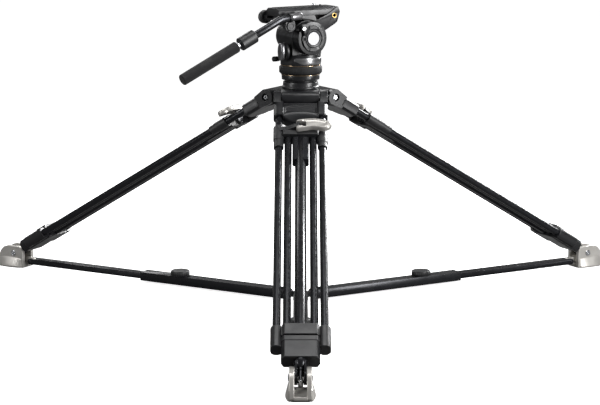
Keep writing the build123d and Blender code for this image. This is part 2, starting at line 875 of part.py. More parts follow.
def build_camera_plate():
    with BuildPart() as plate:
        with BuildSketch(head_side(0)):
            with BuildLine():
                Polyline(
                    (-66, platform_top + slide), (44, platform_top + slide),
                    (69, plate_top), (-63, plate_top), (-66, platform_top + slide),
                )
            make_face()
        extrude(amount=plate_half, both=True)
        # bevels along both long edges
        for side in (-1, 1):
            with BuildSketch(Plane(origin=(0, 0, tilt_height), x_dir=near, z_dir=-along)):
                with BuildLine():
                    Polyline(
                        (side * (plate_half + 1), plate_top + 1),
                        (side * (plate_half - 7), plate_top + 1),
                        (side * (plate_half - 6), plate_top),
                        (side * plate_half, plate_top - 5),
                        (side * (plate_half + 1), plate_top - 5),
                        (side * (plate_half + 1), plate_top + 1),
                    )
                make_face()
            extrude(amount=100, both=True, mode=Mode.SUBTRACT)
        with BuildSketch(head_side(0)):
            with Locations((-12, platform_top + slide - 2)):
                Rectangle(60, 4)
        extrude(amount=10, both=True)
        # slot for the camera screw, with room for its head below
        with BuildSketch(Plane(origin=(0, 0, tilt_height + plate_top), x_dir=along, z_dir=(0, 0, 1))):
            with Locations((screw_u - 6, 0)):
                SlotOverall(26, 2 * screw_radius + 0.8)
        extrude(amount=-20, mode=Mode.SUBTRACT)
        with BuildSketch(Plane(origin=(0, 0, tilt_height + platform_top), x_dir=along, z_dir=(0, 0, 1))):
            with Locations((screw_u - 6, 0)):
                SlotOverall(36, 15)
        extrude(amount=plate_top - platform_top - 5, mode=Mode.SUBTRACT)
        # registration pin
        with BuildSketch(Plane(origin=(0, 0, tilt_height + plate_top - 2), x_dir=along, z_dir=(0, 0, 1))):
            with Locations((screw_u + 15, 0)):
                Circle(2.2)
        extrude(amount=5)
    save(plate, "camera_plate")

    head_z = tilt_height + plate_top - 5 - gap
    with BuildPart() as screw:
        with BuildSketch(Plane(origin=(0, 0, head_z), x_dir=along, z_dir=(0, 0, 1))):
            with Locations((screw_u, 0)):
                Circle(6.5)
        extrude(amount=-5)
        with BuildSketch(Plane(origin=(0, 0, head_z), x_dir=along, z_dir=(0, 0, 1))):
            with Locations((screw_u, 0)):
                Circle(screw_radius - 0.4)
        extrude(amount=5 + gap)
        with BuildSketch(Plane(origin=(0, 0, tilt_height + plate_top), x_dir=along, z_dir=(0, 0, 1))):
            with Locations((screw_u, 0)):
                Circle(screw_radius)
        extrude(amount=5.5)
    save(screw, "camera_screw")


def bar_frame(distance):
    # on the sloping part of the pan bar, z along it, distance from the bend
    start = near * bar_w + along * bar_bend[0] + Vector(0, 0, tilt_height + bar_bend[1])
    run_dir = along * -cos(radians(bar_drop)) - Vector(0, 0, sin(radians(bar_drop)))
    return Plane(origin=start + run_dir * distance, x_dir=near, z_dir=run_dir)


def build_pan_bar():
    slope_end = (
        bar_bend[0] - bar_end * cos(radians(bar_drop)),
        bar_bend[1] - bar_end * sin(radians(bar_drop)),
    )
    entry = Vector(*bar_bend) - Vector(*bar_start)
    start = near * bar_w + along * bar_start[0] + Vector(0, 0, tilt_height + bar_start[1])
    with BuildPart() as bar:
        with BuildLine(head_side(bar_w)):
            FilletPolyline(bar_start, bar_bend, slope_end, radius=30)
        heading = along * entry.X + Vector(0, 0, entry.Y)
        with BuildSketch(Plane(origin=start, x_dir=near, z_dir=heading)):
            Circle(bar_radius)
        sweep()
        with BuildSketch(bar_frame(bar_end + 1)):
            Circle(grip_tube_radius + slide)
        extrude(amount=-(bar_end - grip_tube_start + 8), mode=Mode.SUBTRACT)
    save(bar, "pan_bar")

    with BuildPart() as clamp:
        with BuildSketch(head_side(body_near + 2 * gap + 5.5)):
            with Locations(rosette_place):
                Circle(12)
        extrude(amount=5)
        with BuildSketch(head_side(body_near + 2 * gap + 5.5)):
            with Locations(rosette_place):
                Circle(4)
        extrude(amount=-4.5)
        with BuildSketch(head_side(bar_w - 8.5)):
            with BuildLine():
                Polyline((-56, 22), (-56, 50), (-38, 52.5), (-36, 22), (-56, 22))
            make_face()
        extrude(amount=17)
        with BuildLine(head_side(bar_w)):
            Line(bar_start, bar_bend)
        with BuildSketch(Plane(origin=start, x_dir=near, z_dir=heading)):
            Circle(bar_radius)
        sweep(mode=Mode.SUBTRACT)
    save(clamp, "bar_clamp")

    with BuildPart() as collar:
        with BuildSketch(bar_frame(collar_start)):
            Circle(collar_radius)
        extrude(amount=collar_length)
        fillet(collar.edges(), 1)
        with BuildSketch(bar_frame(collar_start)):
            Circle(bar_radius + run)
        extrude(amount=bar_end + gap - collar_start, mode=Mode.SUBTRACT)
        with BuildSketch(bar_frame(collar_start)):
            Circle(grip_tube_radius + slide)
        extrude(amount=collar_length + 1, mode=Mode.SUBTRACT)
    save(collar, "bar_collar")

    with BuildPart() as tube:
        with BuildSketch(bar_frame(grip_tube_start)):
            Circle(grip_tube_radius)
        extrude(amount=grip_end - 6 - grip_tube_start)
    save(tube, "grip_tube")

    with BuildPart() as grip:
        with BuildSketch(bar_frame(grip_start)):
            Circle(grip_radius)
        extrude(amount=grip_end - grip_start)
        fillet(grip.edges(), 3)
        with BuildSketch(bar_frame(grip_start)):
            Circle(grip_tube_radius)
        extrude(amount=grip_end - 6 - grip_start, mode=Mode.SUBTRACT)
    save(grip, "grip")


# ================================================================ build everything

for side_name, side_bearing in bearings.items():
    frame = leg_frame(side_bearing)
    build_yoke(side_name, frame)
    build_tube_pair(side_name + "_upper_tubes", frame, outer_tube_x, 25.0, collar_ear_end - 6)
    build_upper_collar(side_name, frame)
    build_mid_slider(side_name, frame)
    build_tube_pair(side_name + "_mid_tubes", frame, inner_tube_x, 110.0, mid_collar_end - 12)
    build_lever(side_name, frame)
    build_mid_collar(side_name, frame)
    build_lower_leg(side_name, frame)
    build_shoe(side_name, side_bearing)
    build_rod(side_name, side_bearing)
    build_channel(side_name, side_bearing)
    build_spreader_knob(side_name, side_bearing)
build_hub()
build_crown()
build_head_base()
build_head_body()
build_head_knobs()
build_platform()
build_camera_plate()
build_pan_bar()
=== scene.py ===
import bmesh
import bpy
import json
import math
from mathutils import Matrix, Vector


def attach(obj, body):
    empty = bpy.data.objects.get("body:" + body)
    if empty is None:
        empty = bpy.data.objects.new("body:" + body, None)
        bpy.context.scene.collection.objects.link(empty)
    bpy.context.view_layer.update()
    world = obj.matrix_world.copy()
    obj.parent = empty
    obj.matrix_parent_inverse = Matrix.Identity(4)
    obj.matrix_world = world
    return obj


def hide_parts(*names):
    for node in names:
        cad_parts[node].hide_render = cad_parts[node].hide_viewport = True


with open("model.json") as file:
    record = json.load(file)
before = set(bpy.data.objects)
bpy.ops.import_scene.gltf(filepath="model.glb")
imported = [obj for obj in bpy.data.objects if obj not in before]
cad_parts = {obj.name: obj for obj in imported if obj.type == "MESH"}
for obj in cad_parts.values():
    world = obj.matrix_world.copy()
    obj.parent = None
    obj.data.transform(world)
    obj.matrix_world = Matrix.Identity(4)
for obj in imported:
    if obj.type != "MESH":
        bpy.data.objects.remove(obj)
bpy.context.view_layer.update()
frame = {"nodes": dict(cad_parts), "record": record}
print("frame loaded:", len(frame["nodes"]), "nodes")

stance = {"footRadius": 700.0, "footHeight": 31.0, "hingeRadius": 50.0, "hingeHeight": 413.0}  # millimetres
legBearings = {"front": -90.0, "right": 30.0, "left": 150.0}  # degrees from +X
headTurn = 32.0
tiltHeight = 530.0
toMetres = Matrix.Scale(0.001, 4)


def outward(bearing):
    return Vector((math.cos(math.radians(bearing)), math.sin(math.radians(bearing)), 0))


def placed(origin, xWay, yWay, zWay):
    turn = Matrix((xWay, yWay, zWay)).transposed().to_4x4()
    return toMetres @ Matrix.Translation(origin) @ turn


def legPlace(bearing):  # x across the leg, y out of its upper face, z down the leg
    rise = stance["hingeHeight"] - stance["footHeight"]
    slope = math.atan2(rise, stance["footRadius"] - stance["hingeRadius"])
    down = outward(bearing) * math.cos(slope) - Vector((0, 0, math.sin(slope)))
    across = outward(bearing + 90)
    hinge = outward(bearing) * stance["hingeRadius"] + Vector((0, 0, stance["hingeHeight"]))
    return placed(hinge, across, down.cross(across), down)


def uprightPlace(bearing, reach, height):  # x outwards, y up, z across
    origin = outward(bearing) * reach + Vector((0, 0, height))
    return placed(origin, outward(bearing), Vector((0, 0, 1)), outward(bearing - 90))


def headPlace():  # x along the platform, y up from the tilt axis, z towards the near side
    return placed(Vector((0, 0, tiltHeight)), outward(headTurn), Vector((0, 0, 1)), outward(headTurn - 90))


def node(tree, kind, **settings):
    made = tree.nodes.new(kind)
    for key, value in settings.items():
        setattr(made, key, value)
    return made


def wire(tree, *pairs):
    for start, end in pairs:
        tree.links.new(start, end)


def fill(made, **values):  # plain values for a node's inputs, with _ for a space
    for label, value in values.items():
        made.inputs[label.replace("_", " ")].default_value = value


def surfaceGroup(name, inputs, outputs):
    tree = bpy.data.node_groups.new(name, "ShaderNodeTree")
    for label, kind, value in inputs:
        socket = tree.interface.new_socket(label, in_out="INPUT", socket_type=kind)
        if value is not None:
            socket.default_value = value
    for label in outputs:
        tree.interface.new_socket(label, in_out="OUTPUT", socket_type="NodeSocketFloat")
    return tree, tree.nodes.new("NodeGroupInput"), tree.nodes.new("NodeGroupOutput")


def makeGrainGroup():  # fine pitting of a casting or a moulded skin, with slow blotches
    tree, start, end = surfaceGroup("fineGrain", (
        ("Vector", "NodeSocketVector", None), ("Grain Scale", "NodeSocketFloat", 2200.0),
        ("Blotch Scale", "NodeSocketFloat", 45.0)), ("Height", "Blotch", "Speck"))
    grain = node(tree, "ShaderNodeTexNoise")
    fill(grain, Detail=3.0)
    blotch = node(tree, "ShaderNodeTexNoise")
    fill(blotch, Detail=4.0)
    specks = node(tree, "ShaderNodeTexVoronoi", feature="F1")
    pick = node(tree, "ShaderNodeMapRange")
    fill(pick, From_Min=0.0, From_Max=0.16, To_Min=1.0, To_Max=0.0)
    for texture, scale in ((grain, "Grain Scale"), (blotch, "Blotch Scale"), (specks, "Grain Scale")):
        wire(tree, (start.outputs["Vector"], texture.inputs["Vector"]),
             (start.outputs[scale], texture.inputs["Scale"]))
    wire(tree, (specks.outputs["Distance"], pick.inputs["Value"]),
         (grain.outputs["Fac"], end.inputs["Height"]), (blotch.outputs["Fac"], end.inputs["Blotch"]),
         (pick.outputs["Result"], end.inputs["Speck"]))
    return tree


def makeWearGroup():  # rubbed edges, broken up so that they never run evenly
    tree, start, end = surfaceGroup("rubbedEdges", (
        ("Vector", "NodeSocketVector", None), ("Reach", "NodeSocketFloat", 0.06),
        ("Break Up", "NodeSocketFloat", 160.0)), ("Mask",))
    shape = node(tree, "ShaderNodeNewGeometry")
    edge = node(tree, "ShaderNodeMapRange", clamp=True)
    fill(edge, From_Min=0.57)
    widen = node(tree, "ShaderNodeMath", operation="ADD")
    widen.inputs[0].default_value = 0.58
    noise = node(tree, "ShaderNodeTexNoise")
    fill(noise, Detail=5.0)
    cut = node(tree, "ShaderNodeMapRange", clamp=True)
    fill(cut, From_Min=0.38, From_Max=0.62)
    both = node(tree, "ShaderNodeMath", operation="MULTIPLY")
    wire(tree, (shape.outputs["Pointiness"], edge.inputs["Value"]),
         (start.outputs["Reach"], widen.inputs[1]), (widen.outputs[0], edge.inputs["From Max"]),
         (start.outputs["Vector"], noise.inputs["Vector"]),
         (start.outputs["Break Up"], noise.inputs["Scale"]), (noise.outputs["Fac"], cut.inputs["Value"]),
         (edge.outputs["Result"], both.inputs[0]), (cut.outputs["Result"], both.inputs[1]),
         (both.outputs[0], end.inputs["Mask"]))
    return tree


def makeDustGroup():  # a thin film that settles on what faces up
    tree, start, end = surfaceGroup("settledDust", (
        ("Vector", "NodeSocketVector", None), ("Patch Scale", "NodeSocketFloat", 60.0),
        ("Amount", "NodeSocketFloat", 0.15)), ("Mask",))
    shape = node(tree, "ShaderNodeNewGeometry")
    split = node(tree, "ShaderNodeSeparateXYZ")
    up = node(tree, "ShaderNodeMapRange", clamp=True)
    fill(up, From_Min=0.2)
    noise = node(tree, "ShaderNodeTexNoise")
    fill(noise, Detail=6.0)
    patch = node(tree, "ShaderNodeMapRange", clamp=True)
    fill(patch, From_Min=0.42, From_Max=0.75)
    both = node(tree, "ShaderNodeMath", operation="MULTIPLY")
    scaled = node(tree, "ShaderNodeMath", operation="MULTIPLY")
    wire(tree, (shape.outputs["Normal"], split.inputs["Vector"]),
         (split.outputs["Z"], up.inputs["Value"]), (start.outputs["Vector"], noise.inputs["Vector"]),
         (start.outputs["Patch Scale"], noise.inputs["Scale"]),
         (noise.outputs["Fac"], patch.inputs["Value"]), (up.outputs["Result"], both.inputs[0]),
         (patch.outputs["Result"], both.inputs[1]), (both.outputs[0], scaled.inputs[0]),
         (start.outputs["Amount"], scaled.inputs[1]), (scaled.outputs[0], end.inputs["Mask"]))
    return tree


def makeStreakGroup():  # long drawn lines along one way, or round one way
    tree, start, end = surfaceGroup("drawnLines", (
        ("Vector", "NodeSocketVector", None), ("Line Scale", "NodeSocketFloat", 1600.0)), ("Height", "Band"))
    lines = node(tree, "ShaderNodeTexNoise")
    fill(lines, Detail=2.0)
    slow = node(tree, "ShaderNodeTexNoise")
    fill(slow, Scale=180.0, Detail=3.0)
    wire(tree, (start.outputs["Vector"], lines.inputs["Vector"]),
         (start.outputs["Line Scale"], lines.inputs["Scale"]),
         (start.outputs["Vector"], slow.inputs["Vector"]), (lines.outputs["Fac"], end.inputs["Height"]),
         (slow.outputs["Fac"], end.inputs["Band"]))
    return tree


fineGrain = makeGrainGroup()
rubbedEdges = makeWearGroup()
settledDust = makeDustGroup()
drawnLines = makeStreakGroup()


def groupNode(tree, group, vector, **values):
    made = node(tree, "ShaderNodeGroup", node_tree=group)
    wire(tree, (vector, made.inputs["Vector"]))
    fill(made, **values)
    return made


def mixColour(tree, factor, under, over):
    mix = node(tree, "ShaderNodeMix", data_type="RGBA")
    for socket, value in ((mix.inputs[6], under), (mix.inputs[7], over)):
        if isinstance(value, bpy.types.NodeSocket):
            wire(tree, (value, socket))
        else:
            socket.default_value = (*value, 1)
    wire(tree, (factor, mix.inputs[0]))
    return mix.outputs[2]


def makeFinish(name, finish, place=None):
    material = bpy.data.materials.new(name)
    material.use_nodes = True
    tree = material.node_tree
    shader = tree.nodes["Principled BSDF"]
    fill(shader, Metallic=finish.get("metallic", 0.0), Coat_Weight=finish.get("coat", 0.0),
         Coat_Roughness=0.3, Specular_IOR_Level=finish.get("specular", 0.5),
         Sheen_Weight=finish.get("sheen", 0.0))
    coords = node(tree, "ShaderNodeTexCoord")
    vector = coords.outputs["Object"]
    grain = groupNode(tree, fineGrain, vector, Grain_Scale=finish["grain"])
    colour = mixColour(tree, grain.outputs["Blotch"], finish["dark"], finish["light"])
    height = grain.outputs["Height"]
    rough = grain.outputs["Blotch"]
    if place is not None:  # lines drawn along the piece's own z
        turn = place.to_3x3().normalized().inverted().to_euler()
        mapping = node(tree, "ShaderNodeMapping")
        fill(mapping, Rotation=turn)
        wire(tree, (vector, mapping.inputs["Vector"]))
        squash = node(tree, "ShaderNodeVectorMath", operation="MULTIPLY")
        squash.inputs[1].default_value = finish.get("draw", (1, 1, 0.01))
        wire(tree, (mapping.outputs["Vector"], squash.inputs[0]))
        lines = groupNode(tree, drawnLines, squash.outputs[0], Line_Scale=finish.get("lines", 1600.0))
        blend = node(tree, "ShaderNodeMix")
        blend.inputs[0].default_value = finish.get("lineShare", 0.6)
        wire(tree, (grain.outputs["Height"], blend.inputs[2]), (lines.outputs["Height"], blend.inputs[3]))
        height = blend.outputs[0]
        roughMix = node(tree, "ShaderNodeMath", operation="MULTIPLY")
        wire(tree, (lines.outputs["Band"], roughMix.inputs[0]),
             (grain.outputs["Blotch"], roughMix.inputs[1]))
        doubled = node(tree, "ShaderNodeMath", operation="MULTIPLY")
        doubled.inputs[1].default_value = 2.0
        wire(tree, (roughMix.outputs[0], doubled.inputs[0]))
        rough = doubled.outputs[0]
        colour = mixColour(tree, lines.outputs["Band"], finish["dark"], colour)
    if finish.get("fleck"):  # metal flake or foam cells
        colour = mixColour(tree, grain.outputs["Speck"], colour, finish["fleck"])
    spread = node(tree, "ShaderNodeMapRange")
    fill(spread, From_Min=0.3, From_Max=0.7, To_Min=finish["rough"] - finish.get("roughSpread", 0.06),
         To_Max=finish["rough"] + finish.get("roughSpread", 0.06))
    wire(tree, (rough, spread.inputs["Value"]))
    roughness = spread.outputs["Result"]
    if finish.get("wear"):
        wear = groupNode(tree, rubbedEdges, vector, Reach=finish.get("wearReach", 0.06))
        gain = node(tree, "ShaderNodeMath", operation="MULTIPLY")
        gain.inputs[1].default_value = finish["wear"]
        wire(tree, (wear.outputs["Mask"], gain.inputs[0]))
        colour = mixColour(tree, gain.outputs[0], colour, finish["bare"])
    if finish.get("dust"):
        dust = groupNode(tree, settledDust, vector, Amount=finish["dust"])
        colour = mixColour(tree, dust.outputs["Mask"], colour, (0.42, 0.41, 0.39))
        dull = node(tree, "ShaderNodeMath", operation="ADD")
        wire(tree, (roughness, dull.inputs[0]), (dust.outputs["Mask"], dull.inputs[1]))
        roughness = dull.outputs[0]
    bump = node(tree, "ShaderNodeBump")
    fill(bump, Strength=finish.get("bump", 0.3), Distance=finish.get("bumpDepth", 0.0001))
    wire(tree, (height, bump.inputs["Height"]), (colour, shader.inputs["Base Color"]),
         (roughness, shader.inputs["Roughness"]), (bump.outputs["Normal"], shader.inputs["Normal"]))
    return material


finishes = {  # colours are linear, scales are per metre
    "blackCasting": {"dark": (0.0065, 0.0068, 0.0078), "light": (0.0105, 0.0108, 0.0125), "rough": 0.36,
                     "metallic": 0.12, "grain": 2600.0, "bump": 0.22, "wear": 0.3, "bare": (0.12, 0.12, 0.13),
                     "dust": 0.015, "coat": 0.06},
    "tubeAnodise": {"dark": (0.014, 0.0145, 0.017), "light": (0.024, 0.025, 0.029), "rough": 0.26,
                    "metallic": 0.6, "grain": 1800.0, "bump": 0.08, "roughSpread": 0.03},
    "champagne": {"dark": (0.46, 0.444, 0.415), "light": (0.56, 0.543, 0.513), "rough": 0.33, "metallic": 0.6,
                  "grain": 3200.0, "bump": 0.18, "fleck": (0.66, 0.645, 0.62), "wear": 0.3,
                  "bare": (0.78, 0.77, 0.75), "dust": 0.05, "coat": 0.2},
    "platedSteel": {"dark": (0.50, 0.51, 0.53), "light": (0.64, 0.65, 0.67), "rough": 0.24, "metallic": 1.0,
                    "grain": 2400.0, "bump": 0.12},
    "blackRubber": {"dark": (0.007, 0.007, 0.0076), "light": (0.012, 0.012, 0.0128), "rough": 0.68,
                    "grain": 3000.0, "bump": 0.35, "dust": 0.10, "specular": 0.35},
    "gripFoam": {"dark": (0.008, 0.008, 0.0087), "light": (0.014, 0.014, 0.0153), "rough": 0.86,
                 "grain": 1300.0, "bump": 0.7, "bumpDepth": 0.0004, "fleck": (0.006, 0.006, 0.006),
                 "sheen": 0.15, "dust": 0.08, "specular": 0.3},
    "blackMoulding": {"dark": (0.007, 0.0073, 0.0082), "light": (0.012, 0.0125, 0.014), "rough": 0.44,
                      "grain": 2000.0, "bump": 0.3, "wear": 0.18, "bare": (0.06, 0.06, 0.065), "dust": 0.025},
    "bronzeTrim": {"dark": (0.50, 0.36, 0.22), "light": (0.66, 0.50, 0.34), "rough": 0.22, "metallic": 1.0,
                   "grain": 2000.0, "bump": 0.1},
    "brassInsert": {"dark": (0.50, 0.33, 0.10), "light": (0.66, 0.46, 0.17), "rough": 0.28, "metallic": 1.0,
                    "grain": 2200.0, "bump": 0.15},
    "brushedDisc": {"dark": (0.27, 0.27, 0.275), "light": (0.36, 0.36, 0.365), "rough": 0.42, "metallic": 0.9,
                    "grain": 2600.0, "bump": 0.25, "lineShare": 0.85, "draw": (1, 0.02, 1)},
    "handleSteel": {"dark": (0.20, 0.20, 0.21), "light": (0.30, 0.30, 0.31), "rough": 0.34, "metallic": 0.9,
                    "grain": 2400.0, "bump": 0.2, "lineShare": 0.8, "draw": (1, 1, 0.02)},
    "greyFlange": {"dark": (0.22, 0.22, 0.225), "light": (0.34, 0.34, 0.345), "rough": 0.28, "metallic": 0.9,
                   "grain": 2200.0, "bump": 0.15, "lineShare": 0.8, "draw": (0.02, 0.02, 1), "wear": 0.3,
                   "bare": (0.4, 0.4, 0.4)},
    "smokedTube": {"dark": (0.030, 0.031, 0.034), "light": (0.052, 0.053, 0.057), "rough": 0.27,
                   "metallic": 0.8, "grain": 1800.0, "bump": 0.1},
}

legPlaces = {side: legPlace(bearing) for side, bearing in legBearings.items()}
blackCasting = makeFinish("blackCasting", finishes["blackCasting"])
blackMoulding = makeFinish("blackMoulding", finishes["blackMoulding"])
champagne = makeFinish("champagne", finishes["champagne"])
platedSteel = makeFinish("platedSteel", finishes["platedSteel"])
blackRubber = makeFinish("blackRubber", finishes["blackRubber"])
gripFoam = makeFinish("gripFoam", finishes["gripFoam"])
bronzeTrim = makeFinish("bronzeTrim", finishes["bronzeTrim"])
brassInsert = makeFinish("brassInsert", finishes["brassInsert"])
brushedDisc = makeFinish("brushedDisc", finishes["brushedDisc"], headPlace())
greyFlange = makeFinish("greyFlange", finishes["greyFlange"], toMetres)
handleSteel = makeFinish("handleSteel", finishes["handleSteel"], toMetres)
barSlope = 25.4  # how far the pan bar falls away from level
alongBar = Matrix.Rotation(math.radians(90 - barSlope), 4, "Z") @ Matrix.Rotation(math.radians(90), 4, "X")
barMetal = makeFinish("barMetal", finishes["smokedTube"], headPlace() @ alongBar)
tubeMetal = {side: makeFinish(side + "TubeAnodise", finishes["tubeAnodise"], legPlaces[side])
             for side in legBearings}
armMetal = {side: makeFinish(side + "ArmAnodise", finishes["tubeAnodise"],
            uprightPlace(bearing, 0, 0) @ Matrix.Rotation(math.radians(90), 4, "Y"))
            for side, bearing in legBearings.items()}
print("finishes made:", len(bpy.data.materials))


def bodyOf(nodeName):
    for body, names in frame["record"]["behaviour"]["bodies"].items():
        if nodeName in names:
            return body
    raise KeyError(nodeName)


def addPiece(name, mesh, material, body, replaced=()):
    mesh.materials.clear()
    mesh.materials.append(material)
    piece = bpy.data.objects.new(name, mesh)
    bpy.context.scene.collection.objects.link(piece)
    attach(piece, body)
    if replaced:
        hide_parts(*replaced)
    return piece


def roundEdges(piece, width, segments=2, angle=38):
    for face in piece.data.polygons:
        face.use_smooth = True
    if width > 0:
        bevel = piece.modifiers.new("edges", "BEVEL")
        bevel.width = width * 0.001
        bevel.segments = segments
        bevel.limit_method = "ANGLE"
        bevel.angle_limit = math.radians(angle)
        bevel.harden_normals = True
        bevel.use_clamp_overlap = True
    return piece


def softened(nodeName, material, width, segments=2, angle=38):
    form = bmesh.new()
    form.from_mesh(frame["nodes"][nodeName].data)
    bmesh.ops.remove_doubles(form, verts=form.verts, dist=2e-6)
    bmesh.ops.dissolve_limit(form, angle_limit=math.radians(1.0), verts=form.verts, edges=form.edges)
    mesh = bpy.data.meshes.new(nodeName + "_form")
    form.to_mesh(mesh)
    form.free()
    piece = addPiece(nodeName + "_skin", mesh, material, bodyOf(nodeName), (nodeName,))
    return roundEdges(piece, width, segments, angle)


def facePlace(side):  # looking down on the leg's upper face: x across, y up the leg, z out
    swap = Matrix(((1, 0, 0), (0, 0, 1), (0, -1, 0))).to_4x4()
    return legPlaces[side] @ swap


def rearPlace(u, height):  # x towards the near side, y up, z backwards
    along = outward(headTurn)
    return placed(along * u + Vector((0, 0, height)), outward(headTurn - 90), Vector((0, 0, 1)), -along)


def sidePlace(u, y, w):  # on the head's near side, z out of it
    return headPlace() @ Matrix.Translation((u, y, w))


def turnedForm(profile, count=72, start=0.0, sweep=360.0):  # spun round z, from (radius, height) pairs
    form = bmesh.new()
    whole = sweep >= 360
    steps = count if whole else count + 1
    rings = []
    for radius, height in profile:
        if radius < 1e-6:
            rings.append([form.verts.new((0, 0, height))])
            continue
        ring = []
        for i in range(steps):
            a = math.radians(start + sweep * i / count)
            ring.append(form.verts.new((radius * math.cos(a), radius * math.sin(a), height)))
        rings.append(ring)
    for low, high in zip(rings, rings[1:]):
        for i in range(count):
            j = (i + 1) % steps
            if len(low) == 1 and len(high) > 1:
                form.faces.new((low[0], high[j], high[i]))
            elif len(high) == 1 and len(low) > 1:
                form.faces.new((low[i], low[j], high[0]))
            elif len(low) > 1:
                form.faces.new((low[i], low[j], high[j], high[i]))
    if not whole:  # close both cut ends
        for i in (0, count):
            form.faces.new([ring[i] if len(ring) > 1 else ring[0] for ring in rings])
    bmesh.ops.recalc_face_normals(form, faces=form.faces)
    return form


def prismForm(outline, low, high):
    form = bmesh.new()
    base = [form.verts.new((x, y, low)) for x, y in outline]
    top = [form.verts.new((x, y, high)) for x, y in outline]
    form.faces.new(base[::-1])
    form.faces.new(top)
    for i in range(len(outline)):
        j = (i + 1) % len(outline)
        form.faces.new((base[i], base[j], top[j], top[i]))
    bmesh.ops.recalc_face_normals(form, faces=form.faces)
    return form


def joinForms(*forms):
    whole = bmesh.new()
    for form in forms:
        scratch = bpy.data.meshes.new("scratch")
        form.to_mesh(scratch)
        form.free()
        whole.from_mesh(scratch)
        bpy.data.meshes.remove(scratch)
    return whole


def moved(form, matrix):
    form.transform(matrix)
    return form


def makePiece(name, form, place, material, body, replaced=(), bevel=0.0, segments=2, angle=38):
    form.transform(place)
    mesh = bpy.data.meshes.new(name)
    form.to_mesh(mesh)
    form.free()
    return roundEdges(addPiece(name, mesh, material, body, replaced), bevel, segments, angle)


def roundedOutline(width, height, radius, steps=6, centre=(0, 0)):
    points = []
    for k, (sx, sy) in enumerate(((1, 1), (-1, 1), (-1, -1), (1, -1))):
        for i in range(steps + 1):
            a = math.radians(90 * k + 90 * i / steps)
            points.append((centre[0] + sx * (width / 2 - radius) + radius * math.cos(a),
                           centre[1] + sy * (height / 2 - radius) + radius * math.sin(a)))
    return points


def carve(form, cutter):  # cut one closed form out of another
    objects = []
    for part in (form, cutter):
        mesh = bpy.data.meshes.new("scratch")
        part.to_mesh(mesh)
        part.free()
        made = bpy.data.objects.new("scratch", mesh)
        bpy.context.scene.collection.objects.link(made)
        objects.append(made)
    cut = objects[0].modifiers.new("cut", "BOOLEAN")
    cut.operation, cut.object, cut.solver = "DIFFERENCE", objects[1], "EXACT"
    result = bpy.data.meshes.new_from_object(objects[0].evaluated_get(bpy.context.evaluated_depsgraph_get()))
    done = bmesh.new()
    done.from_mesh(result)
    for made in objects:
        bpy.data.objects.remove(made)
    bpy.data.meshes.remove(result)
    bmesh.ops.dissolve_limit(done, angle_limit=math.radians(0.5), verts=done.verts, edges=done.edges)
    return done


def inputSockets(tree, wanted):
    for label, kind, value in wanted:
        socket = tree.interface.new_socket(label, in_out="INPUT", socket_type="NodeSocket" + kind)
        if value is not None:
            socket.default_value = value
    tree.interface.new_socket("Geometry", in_out="OUTPUT", socket_type="NodeSocketGeometry")


def ribRingTree():  # upright half-sunk ribs standing in a ring round z
    tree = bpy.data.node_groups.new("ribRing", "GeometryNodeTree")
    inputSockets(tree, (("Rib Count", "Int", 60), ("Ring Radius", "Float", 40.0),
                        ("Rib Radius", "Float", 1.0), ("Rib Height", "Float", 10.0), ("Sides", "Int", 8),
                        ("Finish", "Material", None)))
    start, end = tree.nodes.new("NodeGroupInput"), tree.nodes.new("NodeGroupOutput")
    ring = node(tree, "GeometryNodeMeshCircle")
    rib = node(tree, "GeometryNodeMeshCylinder")
    place = node(tree, "GeometryNodeInstanceOnPoints")
    real = node(tree, "GeometryNodeRealizeInstances")
    paint = node(tree, "GeometryNodeSetMaterial")
    for label, target in (("Rib Count", ring.inputs["Vertices"]), ("Ring Radius", ring.inputs["Radius"]),
                          ("Sides", rib.inputs["Vertices"]), ("Rib Radius", rib.inputs["Radius"]),
                          ("Rib Height", rib.inputs["Depth"]), ("Finish", paint.inputs["Material"])):
        wire(tree, (start.outputs[label], target))
    wire(tree, (ring.outputs["Mesh"], place.inputs["Points"]),
         (rib.outputs["Mesh"], place.inputs["Instance"]),
         (place.outputs["Instances"], real.inputs["Geometry"]),
         (real.outputs["Geometry"], paint.inputs["Geometry"]),
         (paint.outputs["Geometry"], end.inputs["Geometry"]))
    return tree


def ribRowTree():  # half-sunk ribs lying along y, spaced out along x
    tree = bpy.data.node_groups.new("ribRow", "GeometryNodeTree")
    inputSockets(tree, (("Rib Count", "Int", 12), ("Spacing", "Float", 2.0), ("Rib Radius", "Float", 0.7),
                        ("Rib Length", "Float", 20.0), ("Finish", "Material", None)))
    start, end = tree.nodes.new("NodeGroupInput"), tree.nodes.new("NodeGroupOutput")
    step = node(tree, "ShaderNodeCombineXYZ")
    line = node(tree, "GeometryNodeMeshLine")
    rib = node(tree, "GeometryNodeMeshCylinder")
    fill(rib, Vertices=10)
    place = node(tree, "GeometryNodeInstanceOnPoints")
    fill(place, Rotation=(math.radians(90), 0, 0))
    real = node(tree, "GeometryNodeRealizeInstances")
    paint = node(tree, "GeometryNodeSetMaterial")
    for label, target in (("Rib Count", line.inputs["Count"]), ("Spacing", step.inputs["X"]),
                          ("Rib Radius", rib.inputs["Radius"]), ("Rib Length", rib.inputs["Depth"]),
                          ("Finish", paint.inputs["Material"])):
        wire(tree, (start.outputs[label], target))
    wire(tree, (step.outputs[0], line.inputs["Offset"]), (line.outputs["Mesh"], place.inputs["Points"]),
         (rib.outputs["Mesh"], place.inputs["Instance"]),
         (place.outputs["Instances"], real.inputs["Geometry"]),
         (real.outputs["Geometry"], paint.inputs["Geometry"]),
         (paint.outputs["Geometry"], end.inputs["Geometry"]))
    return tree


